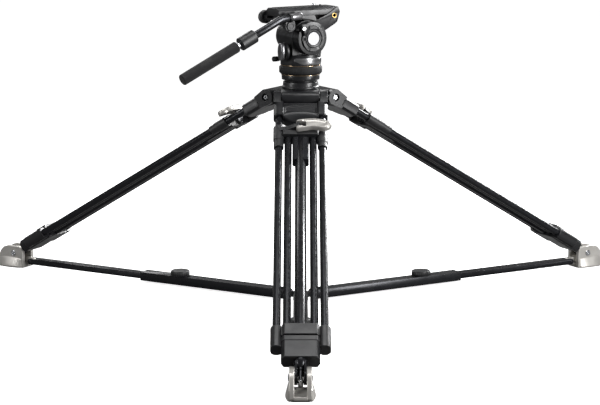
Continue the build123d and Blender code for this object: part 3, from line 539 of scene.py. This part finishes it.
def screwTree():  # socket-head screws at a mesh's points, each along its own seatNormal
    tree = bpy.data.node_groups.new("socketScrews", "GeometryNodeTree")
    inputSockets(tree, (("Seats", "Geometry", None), ("Head Radius", "Float", 2.0),
                        ("Head Height", "Float", 1.6), ("Socket Radius", "Float", 1.1),
                        ("Finish", "Material", None)))
    start, end = tree.nodes.new("NodeGroupInput"), tree.nodes.new("NodeGroupOutput")
    head = node(tree, "GeometryNodeMeshCylinder")
    fill(head, Vertices=20)
    socket = node(tree, "GeometryNodeMeshCylinder")
    fill(socket, Vertices=6)
    lift = node(tree, "GeometryNodeTransform")
    rise = node(tree, "ShaderNodeCombineXYZ")
    half = node(tree, "ShaderNodeMath", operation="MULTIPLY")
    half.inputs[1].default_value = 0.6
    cut = node(tree, "GeometryNodeMeshBoolean", operation="DIFFERENCE")
    normal = node(tree, "GeometryNodeInputNamedAttribute", data_type="FLOAT_VECTOR")
    fill(normal, Name="seatNormal")
    aim = node(tree, "FunctionNodeAlignRotationToVector", axis="Z")
    place = node(tree, "GeometryNodeInstanceOnPoints")
    real = node(tree, "GeometryNodeRealizeInstances")
    paint = node(tree, "GeometryNodeSetMaterial")
    for label, target in (("Head Radius", head.inputs["Radius"]), ("Head Height", head.inputs["Depth"]),
                          ("Socket Radius", socket.inputs["Radius"]), ("Head Height", socket.inputs["Depth"]),
                          ("Head Height", half.inputs[0]), ("Seats", place.inputs["Points"]),
                          ("Finish", paint.inputs["Material"])):
        wire(tree, (start.outputs[label], target))
    wire(tree, (half.outputs[0], rise.inputs["Z"]), (rise.outputs[0], lift.inputs["Translation"]),
         (socket.outputs["Mesh"], lift.inputs["Geometry"]), (head.outputs["Mesh"], cut.inputs["Mesh 1"]),
         (lift.outputs["Geometry"], cut.inputs["Mesh 2"]), (normal.outputs[0], aim.inputs["Vector"]),
         (aim.outputs[0], place.inputs["Rotation"]), (cut.outputs["Mesh"], place.inputs["Instance"]),
         (place.outputs["Instances"], real.inputs["Geometry"]),
         (real.outputs["Geometry"], paint.inputs["Geometry"]),
         (paint.outputs["Geometry"], end.inputs["Geometry"]))
    return tree


ribRing, ribRow, socketScrews = ribRingTree(), ribRowTree(), screwTree()


def grown(tree, values, seats=None):  # runs a tree once and gives back its plain mesh
    mesh = seats or bpy.data.meshes.new("seed")
    if not seats:
        mesh.from_pydata([(0, 0, 0)], [], [])
    holder = bpy.data.objects.new("holder", mesh)
    bpy.context.scene.collection.objects.link(holder)
    grow = holder.modifiers.new("grow", "NODES")
    grow.node_group = tree
    for item in tree.interface.items_tree:
        if item.in_out == "INPUT" and item.name in values:
            grow[item.identifier] = values[item.name]
    made = bpy.data.meshes.new_from_object(holder.evaluated_get(bpy.context.evaluated_depsgraph_get()))
    holder.modifiers.clear()
    bpy.data.objects.remove(holder)
    return made


def ribsPiece(name, tree, values, place, material, body, smooth=True):
    mesh = grown(tree, dict(values, Finish=material))
    mesh.transform(place)
    piece = addPiece(name, mesh, material, body)
    for face in piece.data.polygons:
        face.use_smooth = smooth
    return piece


def screwsPiece(name, seats, values, place, material, body):
    points = bpy.data.meshes.new("seats")
    points.from_pydata([spot for spot, normal in seats], [], [])
    aims = points.attributes.new("seatNormal", "FLOAT_VECTOR", "POINT")
    for i, (spot, normal) in enumerate(seats):
        aims.data[i].vector = normal
    mesh = grown(socketScrews, dict(values, Finish=material), points)
    mesh.transform(place)
    return addPiece(name, mesh, material, body)


print("building the legs")
casting = {"half": 52.0, "top": 12.0, "under": 13.0, "start": 19.0, "earEnd": 60.0, "apronEnd": 73.0,
           "lugHalf": 37.5, "gap": 0.5, "barrel": 16.0, "columnIn": 33.0}


def ease(value, low, high):
    t = min(1.0, max(0.0, (value - low) / (high - low)))
    return t * t * (3 - 2 * t)


def yokeHeight(x, z):  # the sculpted upper face: ear columns, brow, label panel and apron
    c = casting
    side = abs(x)
    column = ease(side, c["columnIn"] - 1.5, c["columnIn"] + 1.5)
    outerEdge = max(0.0, side - 43.0)
    columnTop = c["top"] - outerEdge * outerEdge / 13.0
    brow = 26.5 + 7.0 * (side / 33.0) ** 2
    apron = 51.0 + 6.0 * (side / 33.0) ** 2
    middle = 6.0 + 3.2 * ease(z, brow - 2.0, brow + 1.0)  # shelf, then the brow's raised face
    panel = ease(z, brow + 4.0, brow + 5.5) * ease(30.0 - side, 0.0, 1.5) * ease(apron - 3.0 - z, 0.0, 1.5)
    middle -= 1.5 * panel
    middle += 2.0 * ease(z, apron - 1.5, apron + 1.0)
    fall = max(0.0, z - apron)
    middle -= fall * fall / 34.0
    return column * columnTop + (1 - column) * middle


def yokeForm():
    c = casting
    columns, rows = 92, 52
    form = bmesh.new()

    def endAt(x):
        side = abs(x)
        if side > 35.0:
            return c["earEnd"] - 1.2 * ease(side, 48.0, 52.0)
        return c["earEnd"] + (c["apronEnd"] - c["earEnd"]) * math.sqrt(max(0.0, 1 - (side / 35.0) ** 2))

    top, low = [], []
    for i in range(columns + 1):
        x = -c["half"] + 2 * c["half"] * i / columns
        end = endAt(x)
        topRow, lowRow = [], []
        for k in range(rows + 1):
            z = c["start"] + (end - c["start"]) * k / rows
            tuck = 1.6 * ease(z, end - 2.5, end) ** 2
            edge = max(0.0, abs(x) - 44.0)
            topRow.append(form.verts.new((x, yokeHeight(x, z) - tuck, z)))
            lowRow.append(form.verts.new((x, -c["under"] + edge * edge / 13.0 + tuck, z)))
        top.append(topRow)
        low.append(lowRow)
    for i in range(columns):
        for k in range(rows):
            form.faces.new((top[i][k], top[i][k + 1], top[i + 1][k + 1], top[i + 1][k]))
            form.faces.new((low[i][k], low[i + 1][k], low[i + 1][k + 1], low[i][k + 1]))
        for k in (0, rows):
            form.faces.new((top[i][k], top[i + 1][k], low[i + 1][k], low[i][k]))
    for i in (0, columns):
        for k in range(rows):
            form.faces.new((top[i][k], low[i][k], low[i][k + 1], top[i][k + 1]))
    bmesh.ops.recalc_face_normals(form, faces=form.faces)
    return form


def earForm(side):  # hinge ear with the bolt's round recess
    c = casting
    inner, outer = c["lugHalf"] + c["gap"], c["half"]
    outline = [(c["barrel"] * math.cos(a), c["barrel"] * math.sin(a))
               for a in (math.radians(100 + 160 * i / 20) for i in range(21))]
    outline += [(c["start"] + 4, -c["under"]), (c["start"] + 4, c["top"])]
    body = prismForm(outline, inner, outer)
    recess = turnedForm([(0, outer - 5.5), (7.6, outer - 5.5), (7.6, outer + 1), (0, outer + 1)], 32)
    made = carve(body, recess)
    swap = Matrix(((0, 0, 1), (0, 1, 0), (1, 0, 0))).to_4x4() if side > 0 else \
        Matrix(((0, 0, -1), (0, 1, 0), (1, 0, 0))).to_4x4()
    made.transform(swap)
    bmesh.ops.recalc_face_normals(made, faces=made.faces)
    return made


lever = {"centre": (28, -102), "slotAt": (-1.5, -103), "slotSize": (24.5, 14.5), "slotRound": 2.0}


def smoothLoop(points, steps=10):  # a closed curve through the points
    count, made = len(points), []
    for i in range(count):
        a, b, c, d = (Vector(points[(i + k) % count]) for k in (-1, 0, 1, 2))
        for s in range(steps):
            t = s / steps
            made.append(0.5 * ((2 * b) + (c - a) * t + (2 * a - 5 * b + 4 * c - d) * t * t
                               + (3 * b - a - 3 * c + d) * t * t * t))
    return [tuple(p) for p in made]


def leverForm():  # kidney paddle, crowned, with a dished panel, forked round the clamp band
    base = [(-7, -92), (10, -88.6), (28, -88.2), (46, -91.5), (57.5, -99), (58.5, -107), (52, -114.5),
            (42, -116), (32, -114), (20, -112.5), (8, -115), (-5, -117.5), (-8, -114), (-8, -104)]
    outline = smoothLoop(base, 8)
    centre = Vector(lever["centre"])
    rings = []
    shape = ((0.985, 14.5), (1.0, 16.0), (1.0, 20.0), (0.975, 22.2), (0.93, 23.6), (0.86, 24.4), (0.78, 24.5),
             (0.70, 24.4), (0.66, 23.0), (0.60, 22.6), (0.30, 22.8))
    form = bmesh.new()
    for share, height in shape:
        rings.append([form.verts.new((centre.x + (x - centre.x) * share, centre.y + (y - centre.y) * share,
                                      height)) for x, y in outline])
    for a, b in zip(rings, rings[1:]):
        for i in range(len(outline)):
            j = (i + 1) % len(outline)
            form.faces.new((a[i], a[j], b[j], b[i]))
    form.faces.new(rings[0][::-1])
    form.faces.new(rings[-1])
    bmesh.ops.recalc_face_normals(form, faces=form.faces)
    slot = prismForm(roundedOutline(*lever["slotSize"], lever["slotRound"], 4, lever["slotAt"]), 10, 30)
    return carve(form, slot)


slider = {"start": 90.0, "step": 128.0, "end": 150.0, "rightStart": 108.0, "radius": 10.6, "bore": 7.5,
          "tubeX": 41.4, "barStart": 108.0, "barEnd": 122.0}


def sleeveForm(centreX, radius, bore, top, foot, wave):  # a sleeve whose lower edge waves round the tube
    count, rings = 48, []
    form = bmesh.new()
    section = ((bore, "top"), (radius - 0.8, "top"), (radius, "shoulder"), (radius, "foot"), (bore, "foot"))
    for r, edge in section:
        ring = []
        for i in range(count):
            a = 2 * math.pi * i / count
            lift = wave * math.cos(a - math.pi / 2) if edge == "foot" else 0.0
            z = {"top": top, "shoulder": top + 0.8, "foot": foot}[edge] + lift
            ring.append(form.verts.new((centreX + r * math.cos(a), r * math.sin(a), z)))
        rings.append(ring)
    for a, b in zip(rings, rings[1:] + rings[:1]):
        for i in range(count):
            j = (i + 1) % count
            form.faces.new((a[i], a[j], b[j], b[i]))
    bmesh.ops.recalc_face_normals(form, faces=form.faces)
    return form


def sliderForm():  # sleeves on the outer tubes, the strap to the lever and the cross bar
    s = slider
    strap = smoothLoop([(-46, 8.5), (-41.4, 10.9), (-30, 11.8), (-14, 16.5), (-6, 22.3), (-0.6, 20.2),
                        (-0.8, 14.6), (-8, 11.5), (-20, 7.6), (-34, 6.0)], 6)
    pin = turnedForm([(0, 91.5), (1.9, 91.5), (1.9, 114.5), (0, 114.5)], 20)
    bar = roundedOutline(2 * 35.0, 25.0, 5.0, 5)
    return joinForms(
        sleeveForm(-s["tubeX"], s["radius"], s["bore"], s["start"], s["step"], 3.0),
        sleeveForm(-s["tubeX"], s["radius"] - 1.1, s["bore"], s["step"] - 6, s["end"], 2.0),
        sleeveForm(s["tubeX"], s["radius"], s["bore"], s["rightStart"], s["end"] - 14, 3.0),
        sleeveForm(s["tubeX"], s["radius"] - 1.1, s["bore"], s["end"] - 20, s["end"], 2.0),
        prismForm(strap, 97.4, 108.6), prismForm(bar, s["barStart"], s["barEnd"]),
        moved(pin, Matrix.Translation((-5, 18, 0))))


collar = {"lobeX": 41.2, "top": 639.0, "webEnd": 665.6, "lobeEnd": 690.0, "lowEnd": 718.0, }


def upperCollarForm():  # lobes round the outer tubes, a raised block between them
    c = collar
    block = [(-30, -13), (30, -13), (32, -10), (32, 11), (27.5, 16), (-27.5, 16), (-32, 11), (-32, -10)]
    lobe = [roundedOutline(21.4, 24.0, 9.6, 8, (x, -0.4)) for x in (-c["lobeX"], c["lobeX"])]
    return joinForms(prismForm(block, c["top"], c["webEnd"]),
                     prismForm(roundedOutline(84, 17, 4), c["top"] + 3, c["webEnd"] - 4),
                     prismForm(lobe[0], c["top"], c["lobeEnd"]), prismForm(lobe[1], c["top"], c["lobeEnd"]))


def lowCollarForm():  # faceted block round the inner tubes, stepped in at its lower part
    c = collar
    upperPart = [(-34.6, -5), (-30, -13), (30, -13), (34.6, -5), (34.6, 6.5), (28.5, 14), (-28.5, 14),
                 (-34.6, 6.5)]
    lowerPart = [(x * 0.965, y if y < 0 else y * 0.955) for x, y in upperPart]
    return joinForms(prismForm(upperPart, c["webEnd"] + 0.9, c["webEnd"] + 13),
                     prismForm(lowerPart, c["webEnd"] + 12, c["lowEnd"]))


foot = {"pivot": 753.94, "cheekIn": 6.0, "cheekOut": 9.5, "eye": 11.4}


def footForm():  # centre tube, its guide, the socket, two cheeks round the pin, and the stem
    f = foot
    swap = Matrix(((0, 0, 1, 0), (0, 1, 0, 0), (1, 0, 0, 0), (0, 0, 0, 1)))  # drawn in z and y, thick along x
    eye = [(f["pivot"] + f["eye"] * math.cos(a), f["eye"] * math.sin(a))
           for a in (math.radians(-125 + 250 * i / 24) for i in range(25))] + [(722, 8.4), (722, -8.4)]
    parts = [turnedForm([(0, 104), (9.9, 104), (10.65, 105), (10.65, 719), (0, 719)], 56),
             prismForm(roundedOutline(31.0, 19.0, 3.5), 126, 192),
             turnedForm([(0, 715), (11.9, 715), (11.9, 722), (9.2, 731), (6.4, 735), (0, 735)], 48),
             prismForm(roundedOutline(17, 3.6, 1.2, 4, (0, -6.4)), 722, 744),
             turnedForm([(0, 730), (5.6, 730), (5.6, 739), (3.9, 741), (3.9, 768), (0, 768)], 32)]
    for low in (-f["cheekOut"], f["cheekIn"]):
        cheek = prismForm(eye, low, low + f["cheekOut"] - f["cheekIn"])
        cheek.transform(swap)
        bmesh.ops.recalc_face_normals(cheek, faces=cheek.faces)
        parts.append(cheek)
    return joinForms(*parts)


shoeSizes = {"inner": -24.0, "top": 15.0, "ground": -31.0, "slot": 10.6, "wall": 19.3, "skirt": 26.0,
             "floor": -22.6, "lug": -36.0, "lugHeight": -17.0, "lugRound": 8.0}


def shoeForm():  # two cheeks on a thick sole, flared skirts, and the lug that takes the spreader
    s = shoeSizes
    cheek = [(s["inner"], s["ground"]), (s["inner"], 6), (-21, 12.4), (-14, s["top"]), (17, s["top"]),
             (26, 12), (34, 4), (40.5, -8), (44, -20), (44.5, -26), (41, s["ground"])]
    sole = [(s["inner"], s["ground"]), (s["inner"], s["floor"]), (45.2, s["floor"]), (45.6, -27),
            (42, s["ground"])]
    parts = [prismForm(cheek, s["slot"], s["wall"]), prismForm(cheek, -s["wall"], -s["slot"]),
             prismForm(sole, -s["slot"] - 1, s["slot"] + 1)]
    for way in (-1, 1):
        rows = []
        form = bmesh.new()
        for i in range(17):  # a skirt that swells towards the middle of the shoe
            u = -20.0 + 62.0 * i / 16
            swell = math.sin(math.pi * (i + 0.6) / 17.2) ** 0.45
            reach = s["wall"] - 1.0 + (s["skirt"] - s["wall"] + 1.0) * swell
            rows.append([form.verts.new((u, y, way * t)) for t, y in (
                (s["wall"] - 2, s["ground"]), (reach - 1.6, s["ground"]), (reach, s["ground"] + 2.4),
                (reach - 0.6, s["ground"] + 6.5), (s["wall"] + 1.2, -8.5 - 6 * (1 - swell)),
                (s["wall"] - 2, -6.5 - 6 * (1 - swell)))])
        for a, b in zip(rows, rows[1:]):
            for k in range(6):
                form.faces.new((a[k], a[(k + 1) % 6], b[(k + 1) % 6], b[k]))
        form.faces.new(rows[0])
        form.faces.new(rows[-1][::-1])
        bmesh.ops.recalc_face_normals(form, faces=form.faces)
        parts.append(form)
    lug = [(s["lug"] + s["lugRound"] * math.cos(a), s["lugHeight"] + s["lugRound"] * math.sin(a))
           for a in (math.radians(90 + 180 * i / 16) for i in range(17))]
    lug += [(s["inner"] + 2, s["lugHeight"] + end * s["lugRound"]) for end in (-1, 1)]
    bore = turnedForm([(0, -6), (3.1, -6), (3.1, 6), (0, 6)], 24)
    bore.transform(Matrix.Translation((s["lug"], s["lugHeight"], 0)))
    parts.append(carve(prismForm(lug, -4.5, 4.5), bore))
    return joinForms(*parts)


for side, bearing in legBearings.items():
    place, face = legPlaces[side], facePlace(side)
    upper, middle = side + "_upper_leg", side + "_middle_leg"
    bottom, shoe = side + "_bottom_leg", side + "_foot_shoe"
    yoke = joinForms(yokeForm(), earForm(1), earForm(-1))
    makePiece(side + "_yoke_casting", yoke, place, blackCasting, upper,
              (side + "_upper_yoke",), 0.7)
    makePiece(side + "_lever_paddle", leverForm(), face, champagne, side + "_lever",
              (side + "_lock_lever",), 0.5, 2, 30)
    makePiece(side + "_collar_lobes", upperCollarForm(), place, blackCasting, upper,
              (side + "_upper_collar",), 1.1, 3, 30)
    makePiece(side + "_collar_block", lowCollarForm(), place, blackCasting, middle,
              (side + "_mid_collar",), 1.3, 3, 30)
    makePiece(side + "_slider_clamp", sliderForm(), place, blackMoulding, middle,
              (side + "_mid_slider",), 0.8, 2, 40)
    makePiece(side + "_foot_stem", footForm(), place, tubeMetal[side], bottom,
              (side + "_lower_leg",), 0.6, 2, 40)
    atFoot = uprightPlace(bearing, stance["footRadius"], stance["footHeight"])
    makePiece(side + "_shoe_body", shoeForm(), atFoot, champagne, shoe, (side + "_shoe",),
              1.2, 3, 32)
    toFoot = Matrix.Translation((stance["footRadius"], 0, 0))
    underFoot = toMetres @ Matrix.Rotation(math.radians(bearing), 4, "Z") @ toFoot
    makePiece(side + "_shoe_sole", prismForm(roundedOutline(66, 34, 6, 6, (10.5, 0)), 0.02, 1.6),
              underFoot,
              blackRubber, shoe, bevel=0.4)
    softened(side + "_spreader_rod", armMetal[side], 0.8)
    softened(side + "_spreader_channel", armMetal[side], 1.2)
    softened(side + "_spreader_knob", blackMoulding, 0.8)
    for tubes in ("_upper_tubes", "_mid_tubes"):
        frame["nodes"][side + tubes].data.materials.clear()
        frame["nodes"][side + tubes].data.materials.append(tubeMetal[side])
    knob = outward(bearing) * 286.0
    ribsPiece(side + "_knob_ribs", ribRing, {"Rib Count": 26, "Ring Radius": 18.6, "Rib Radius": 1.1,
              "Rib Height": 7.0, "Sides": 8}, toMetres @ Matrix.Translation(knob + Vector((0, 0, 28.2))),
              blackMoulding, side + "_knob")
    tip = turnedForm([(0, -6), (4.5, -6), (4.5, -3.6), (3.6, -2.4), (0.7, 5.2), (0, 5.3)], 28)
    makePiece(side + "_spike_tip", tip, place @ Matrix.Translation((0, 0, foot["pivot"] + 15.6)), platedSteel,
              bottom)
    for end in (-1, 1):
        pin = turnedForm([(0, 0), (6.2, 0), (6.2, 1.6), (5.2, 2.6), (2.4, 2.6), (2.4, 1.8), (0, 1.8)], 32)
        spin = Matrix.Rotation(math.radians(90 * end), 4, "Y")
        makePiece(side + ("_foot_pin_a" if end < 0 else "_foot_pin_b"), pin,
                  place @ Matrix.Translation((end * 18.9, 0, foot["pivot"])) @ spin, platedSteel, bottom,
                  bevel=0.3)

softened("spreader_hub", blackCasting, 0.8)
softened("crown", blackCasting, 2.4, 3)
boltSeats = []
for bearing in legBearings.values():
    hinge = outward(bearing) * stance["hingeRadius"] + Vector((0, 0, stance["hingeHeight"]))
    for sign in (-1, 1):
        across = outward(bearing + 90) * sign
        boltSeats.append((tuple(hinge + across * 47.4), tuple(across)))
bolts = screwsPiece("hinge_bolt_heads", boltSeats, {"Head Radius": 4.3, "Head Height": 5.0,
                    "Socket Radius": 2.3}, toMetres, platedSteel, "crown")
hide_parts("hinge_bolts")

print("building the head")
for nodeName, finish, width, segments in (
        ("neck", blackCasting, 0.8, 2), ("head_base", blackCasting, 0.6, 2),
        ("bowl_clamp_knob", blackMoulding, 1.0, 2), ("pan_ring", blackRubber, 0.5, 2),
        ("ring_trims", bronzeTrim, 0.15, 2), ("head_body", blackCasting, 1.3, 3),
        ("pan_lock_knob", blackMoulding, 0.7, 2), ("drag_knob", blackCasting, 1.4, 3),
        ("drag_handle", handleSteel, 1.2, 3), ("tilt_lock_lever", blackCasting, 0.7, 2),
        ("platform", blackCasting, 1.2, 3), ("plate_clamp_knob", blackMoulding, 1.6, 3),
        ("camera_plate", blackCasting, 0.9, 3), ("camera_screw", platedSteel, 0.3, 2)):
    softened(nodeName, finish, width, segments)
strapOutline = smoothLoop([(-57, 30), (-55, 40), (-52.5, 47), (-44.5, 47.5), (-40, 40), (-35.5, 30),
                           (-36, 20), (-46, 14.5), (-56, 20)], 6)
rosetteCap = turnedForm([(0, 0), (9.4, 0), (9.4, 2.2), (8.4, 3.2), (5.2, 3.2), (4.8, 2.4), (0, 2.4)], 48)
rosette = joinForms(moved(turnedForm([(0, 0), (11.4, 0), (12, 0.6), (12, 4.4), (11.4, 5), (0, 5)], 64),
                          Matrix.Translation((-46, 26, 29.5))),
                    moved(prismForm(strapOutline, 0, 4.6), Matrix.Translation((0, 0, 33))),
                    moved(rosetteCap, Matrix.Translation((-46, 25.5, 37.2))))
makePiece("bar_rosette", rosette, headPlace(), blackCasting, "bar", ("bar_clamp",), 0.5)
softened("pan_bar", barMetal, 0.4)
softened("bar_collar", blackMoulding, 0.8, 3)
softened("grip_tube", platedSteel, 0.2)
softened("grip", gripFoam, 1.5, 3)

dial = {"radius": 25.5, "face": 44.4, "segments": 6}
dialPlace = sidePlace(0, 0, dial["face"])
rim = dial["radius"]
profile = [(0, 0), (rim - 0.9, 0), (rim, 0.8), (rim, 2.0), (rim - 0.6, 2.6), (19.2, 2.6), (18.6, 2.2),
           (18.2, 2.2), (17.6, 3.0), (16.8, 3.7), (14.2, 3.7), (13.5, 3.2), (13.4, 2.6), (0, 2.6)]
segments = []
for k in range(dial["segments"]):
    middle = 360 / dial["segments"] * k + 90
    outline = [(r * math.cos(math.radians(middle + a)), r * math.sin(math.radians(middle + a)))
               for r, angles in ((24.6, range(-22, 23, 4)), (19.4, range(22, -23, -4))) for a in angles]
    segments.append(prismForm(outline, 2.0, 3.9))
makePiece("dial_ring", joinForms(turnedForm(profile, 96), *segments), dialPlace, blackCasting, "dial",
          ("counterbalance_dial",), 0.35)
badge = turnedForm([(0, 2.7), (12.9, 2.7), (12.9, 3.3), (12.4, 3.6), (0, 3.6)], 72)
makePiece("dial_badge_disc", badge, dialPlace, brushedDisc, "dial", ("dial_badge",),
          0.12, 2, 18)
ribsPiece("pan_ring_ribs", ribRing, {"Rib Count": 92, "Ring Radius": 41.2, "Rib Radius": 0.9,
          "Rib Height": 10.6, "Sides": 6}, toMetres @ Matrix.Translation((0, 0, 466.5)), blackRubber,
          "pan_ring")
ribsPiece("pan_lock_knurl", ribRing, {"Rib Count": 18, "Ring Radius": 4.6, "Rib Radius": 0.55,
          "Rib Height": 10.0, "Sides": 6}, rearPlace(-45.5, 487.0) @ Matrix.Translation((-20, 0, 0)),
          blackMoulding, "pan_lock")
ribsPiece("plate_clamp_knurl", ribRing, {"Rib Count": 30, "Ring Radius": 12.2, "Rib Radius": 0.9,
          "Rib Height": 10.0, "Sides": 6}, sidePlace(-62, 39.5, -31), blackMoulding, "plate_clamp")

flange = {"radius": 39.4, "low": 478.0, "high": 491.5, "start": -109.0, "sweep": 148.0, "bulge": 1.0,
          "depth": 2.8}


def flangeForm():  # the bare grey band round the head's base, cut back where it meets the housing
    f = flange
    columns, rows = 80, 8
    form = bmesh.new()
    grid = []
    for i in range(columns + 1):
        t = i / columns
        a = math.radians(f["start"] + f["sweep"] * t)
        low = f["low"] + 6.5 * (1 - ease(t, 0.0, 0.2)) + 7.0 * ease(t, 0.86, 1.0)
        high = f["high"] - 2.5 * (1 - ease(t, 0.0, 0.05))
        inside = f["radius"] - f["depth"]
        line = [(inside, low)]
        for k in range(rows + 1):
            swell = f["bulge"] * math.sin(math.pi * k / rows) ** 0.4
            line.append((f["radius"] + swell, low + (high - low) * k / rows))
        line.append((inside, high))
        grid.append([form.verts.new((r * math.cos(a), r * math.sin(a), h)) for r, h in line])
    for a, b in zip(grid, grid[1:]):
        for k in range(rows + 3):
            j = (k + 1) % (rows + 3)
            form.faces.new((a[k], b[k], b[j], a[j]))
    for column in (grid[0], grid[-1]):
        form.faces.new(column)
    bmesh.ops.recalc_face_normals(form, faces=form.faces)
    return form


makePiece("flange_band", flangeForm(), toMetres, greyFlange, "pan_head", bevel=0.4)

ring = turnedForm([(3.1, -0.6), (5.4, -0.6), (5.4, 0.5), (4.9, 0.9), (3.6, 0.9), (3.1, 0.4), (3.1, -0.6)], 40)
makePiece("insert_ring", ring, sidePlace(64, 40, 22), brassInsert, "tilt_head")
ring = turnedForm([(0, -0.5), (3.0, -0.5), (3.0, 0.3), (2.2, 0.5), (1.8, -0.1), (0, -0.1)], 32)
makePiece("insert_stop", ring, sidePlace(58.0, 34.2, 22), blackMoulding, "tilt_head")
sleeve = turnedForm([(7.5, -10), (7.85, -10), (7.85, 9.4), (7.2, 11.4), (6.4, 12.0), (0, 12.0)], 56)
entry = math.atan2(45.0 - 39.6, 44.0)
alongEntry = Matrix.Rotation(entry, 4, "Z") @ Matrix.Rotation(math.pi / 2, 4, "Y")
makePiece("bar_sleeve", sleeve, sidePlace(-35, 43.65, 38) @ alongEntry, greyFlange, "bar",
          bevel=0.3)
band = turnedForm([(8.3, -2.2), (9.5, -2.2), (9.8, -1.6), (9.8, 1.6), (9.5, 2.2), (8.3, 2.2)], 56)
makePiece("bar_band", band, sidePlace(-48.5, 42.0, 38) @ alongEntry, blackMoulding, "bar")
screwsPiece("tilt_lever_screw", [((-25, 21, 52.6), (0, 0, 1))], {"Head Radius": 3.6, "Head Height": 2.4,
            "Socket Radius": 1.9}, headPlace(), platedSteel, "tilt_lock")
screwsPiece("neck_screws", [((36.4 * math.cos(a), 36.4 * math.sin(a), 431.2), (math.cos(a), math.sin(a), 0))
                            for a in (math.radians(15 + 30 * i) for i in range(12))],
            {"Head Radius": 1.9, "Head Height": 1.2, "Socket Radius": 1.1}, toMetres, blackMoulding, "crown")
pads = {"start": -55.0, "height": 57.9, "w": 11.5, "ribs": 52}
for name, w in (("plate_pad_a", -pads["w"]), ("plate_pad_b", pads["w"])):
    lying = Matrix(((1, 0, 0, pads["start"]), (0, 0, 1, pads["height"]), (0, -1, 0, w), (0, 0, 0, 1)))
    ribsPiece(name, ribRow, {"Rib Count": pads["ribs"], "Spacing": 2.0, "Rib Radius": 0.9, "Rib Length": 8.0},
              headPlace() @ lying, blackRubber, "slide_plate")

print("setting the stage")
floorForm = bmesh.new()
bmesh.ops.create_grid(floorForm, x_segments=2, y_segments=2, size=12000)
floorMesh = bpy.data.meshes.new("floor")
floorForm.transform(Matrix.Scale(0.001, 4))
floorForm.to_mesh(floorMesh)
floorForm.free()
floor = bpy.data.objects.new("floor", floorMesh)
bpy.context.scene.collection.objects.link(floor)
paper = bpy.data.materials.new("studioPaper")  # bright to the eye, dimmer as a light on the undersides
paper.use_nodes = True
tree = paper.node_tree
seen = tree.nodes["Principled BSDF"]
fill(seen, Base_Color=(0.9, 0.9, 0.9, 1), Roughness=0.9, Specular_IOR_Level=0.1,
     Emission_Color=(1, 1, 1, 1), Emission_Strength=0.86)
dimmer = node(tree, "ShaderNodeBsdfDiffuse")
fill(dimmer, Color=(0.16, 0.16, 0.16, 1))
ray = node(tree, "ShaderNodeLightPath")
pick = node(tree, "ShaderNodeMixShader")
wire(tree, (ray.outputs["Is Camera Ray"], pick.inputs[0]), (dimmer.outputs[0], pick.inputs[1]),
     (seen.outputs[0], pick.inputs[2]),
     (pick.outputs[0], tree.nodes["Material Output"].inputs["Surface"]))
floorMesh.materials.append(paper)

world = bpy.data.worlds.new("studio")
world.use_nodes = True
world.node_tree.nodes["Background"].inputs["Color"].default_value = (1, 1, 1, 1)
world.node_tree.nodes["Background"].inputs["Strength"].default_value = 0.18
bpy.context.scene.world = world
bpy.context.scene.view_settings.view_transform = "Standard"

lamps = {
    "keyRight": {"at": (1.75, -1.25, 0.95), "to": (0, -0.1, 0.35), "size": (0.40, 1.7), "watts": 64},
    "keyLeft": {"at": (-2.2, -1.0, 1.2), "to": (0, 0, 0.35), "size": (0.5, 1.4), "watts": 26},
    "over": {"at": (0.0, -0.2, 2.4), "to": (0, 0, 0.3), "size": (1.6, 0.6), "watts": 18},
    "rim": {"at": (-0.9, 1.9, 1.4), "to": (0, 0, 0.4), "size": (1.0, 0.8), "watts": 14},
    "tubeStrip": {"at": (1.5, 1.6, 1.35), "to": (0, -0.3, 0.25), "size": (0.34, 1.3), "watts": 95},
}
for name, lamp in lamps.items():
    data = bpy.data.lights.new(name, "AREA")
    data.shape, data.size, data.size_y, data.energy = "RECTANGLE", *lamp["size"], lamp["watts"]
    light = bpy.data.objects.new(name, data)
    light.location = lamp["at"]
    light.rotation_euler = (Vector(lamp["to"]) - Vector(lamp["at"])).to_track_quat("-Z", "Y").to_euler()
    bpy.context.scene.collection.objects.link(light)

view = bpy.data.cameras.new("view")
view.lens, view.sensor_width = 128.4, 36.0
view.shift_x = -0.001
view.clip_end = 60.0
eye = bpy.data.objects.new("view", view)
eye.location = (0, -4.165, 0.955)
eye.rotation_euler = (math.radians(90 - 10.26), 0, 0)
bpy.context.scene.collection.objects.link(eye)
bpy.context.scene.camera = eye

print("pieces ready")
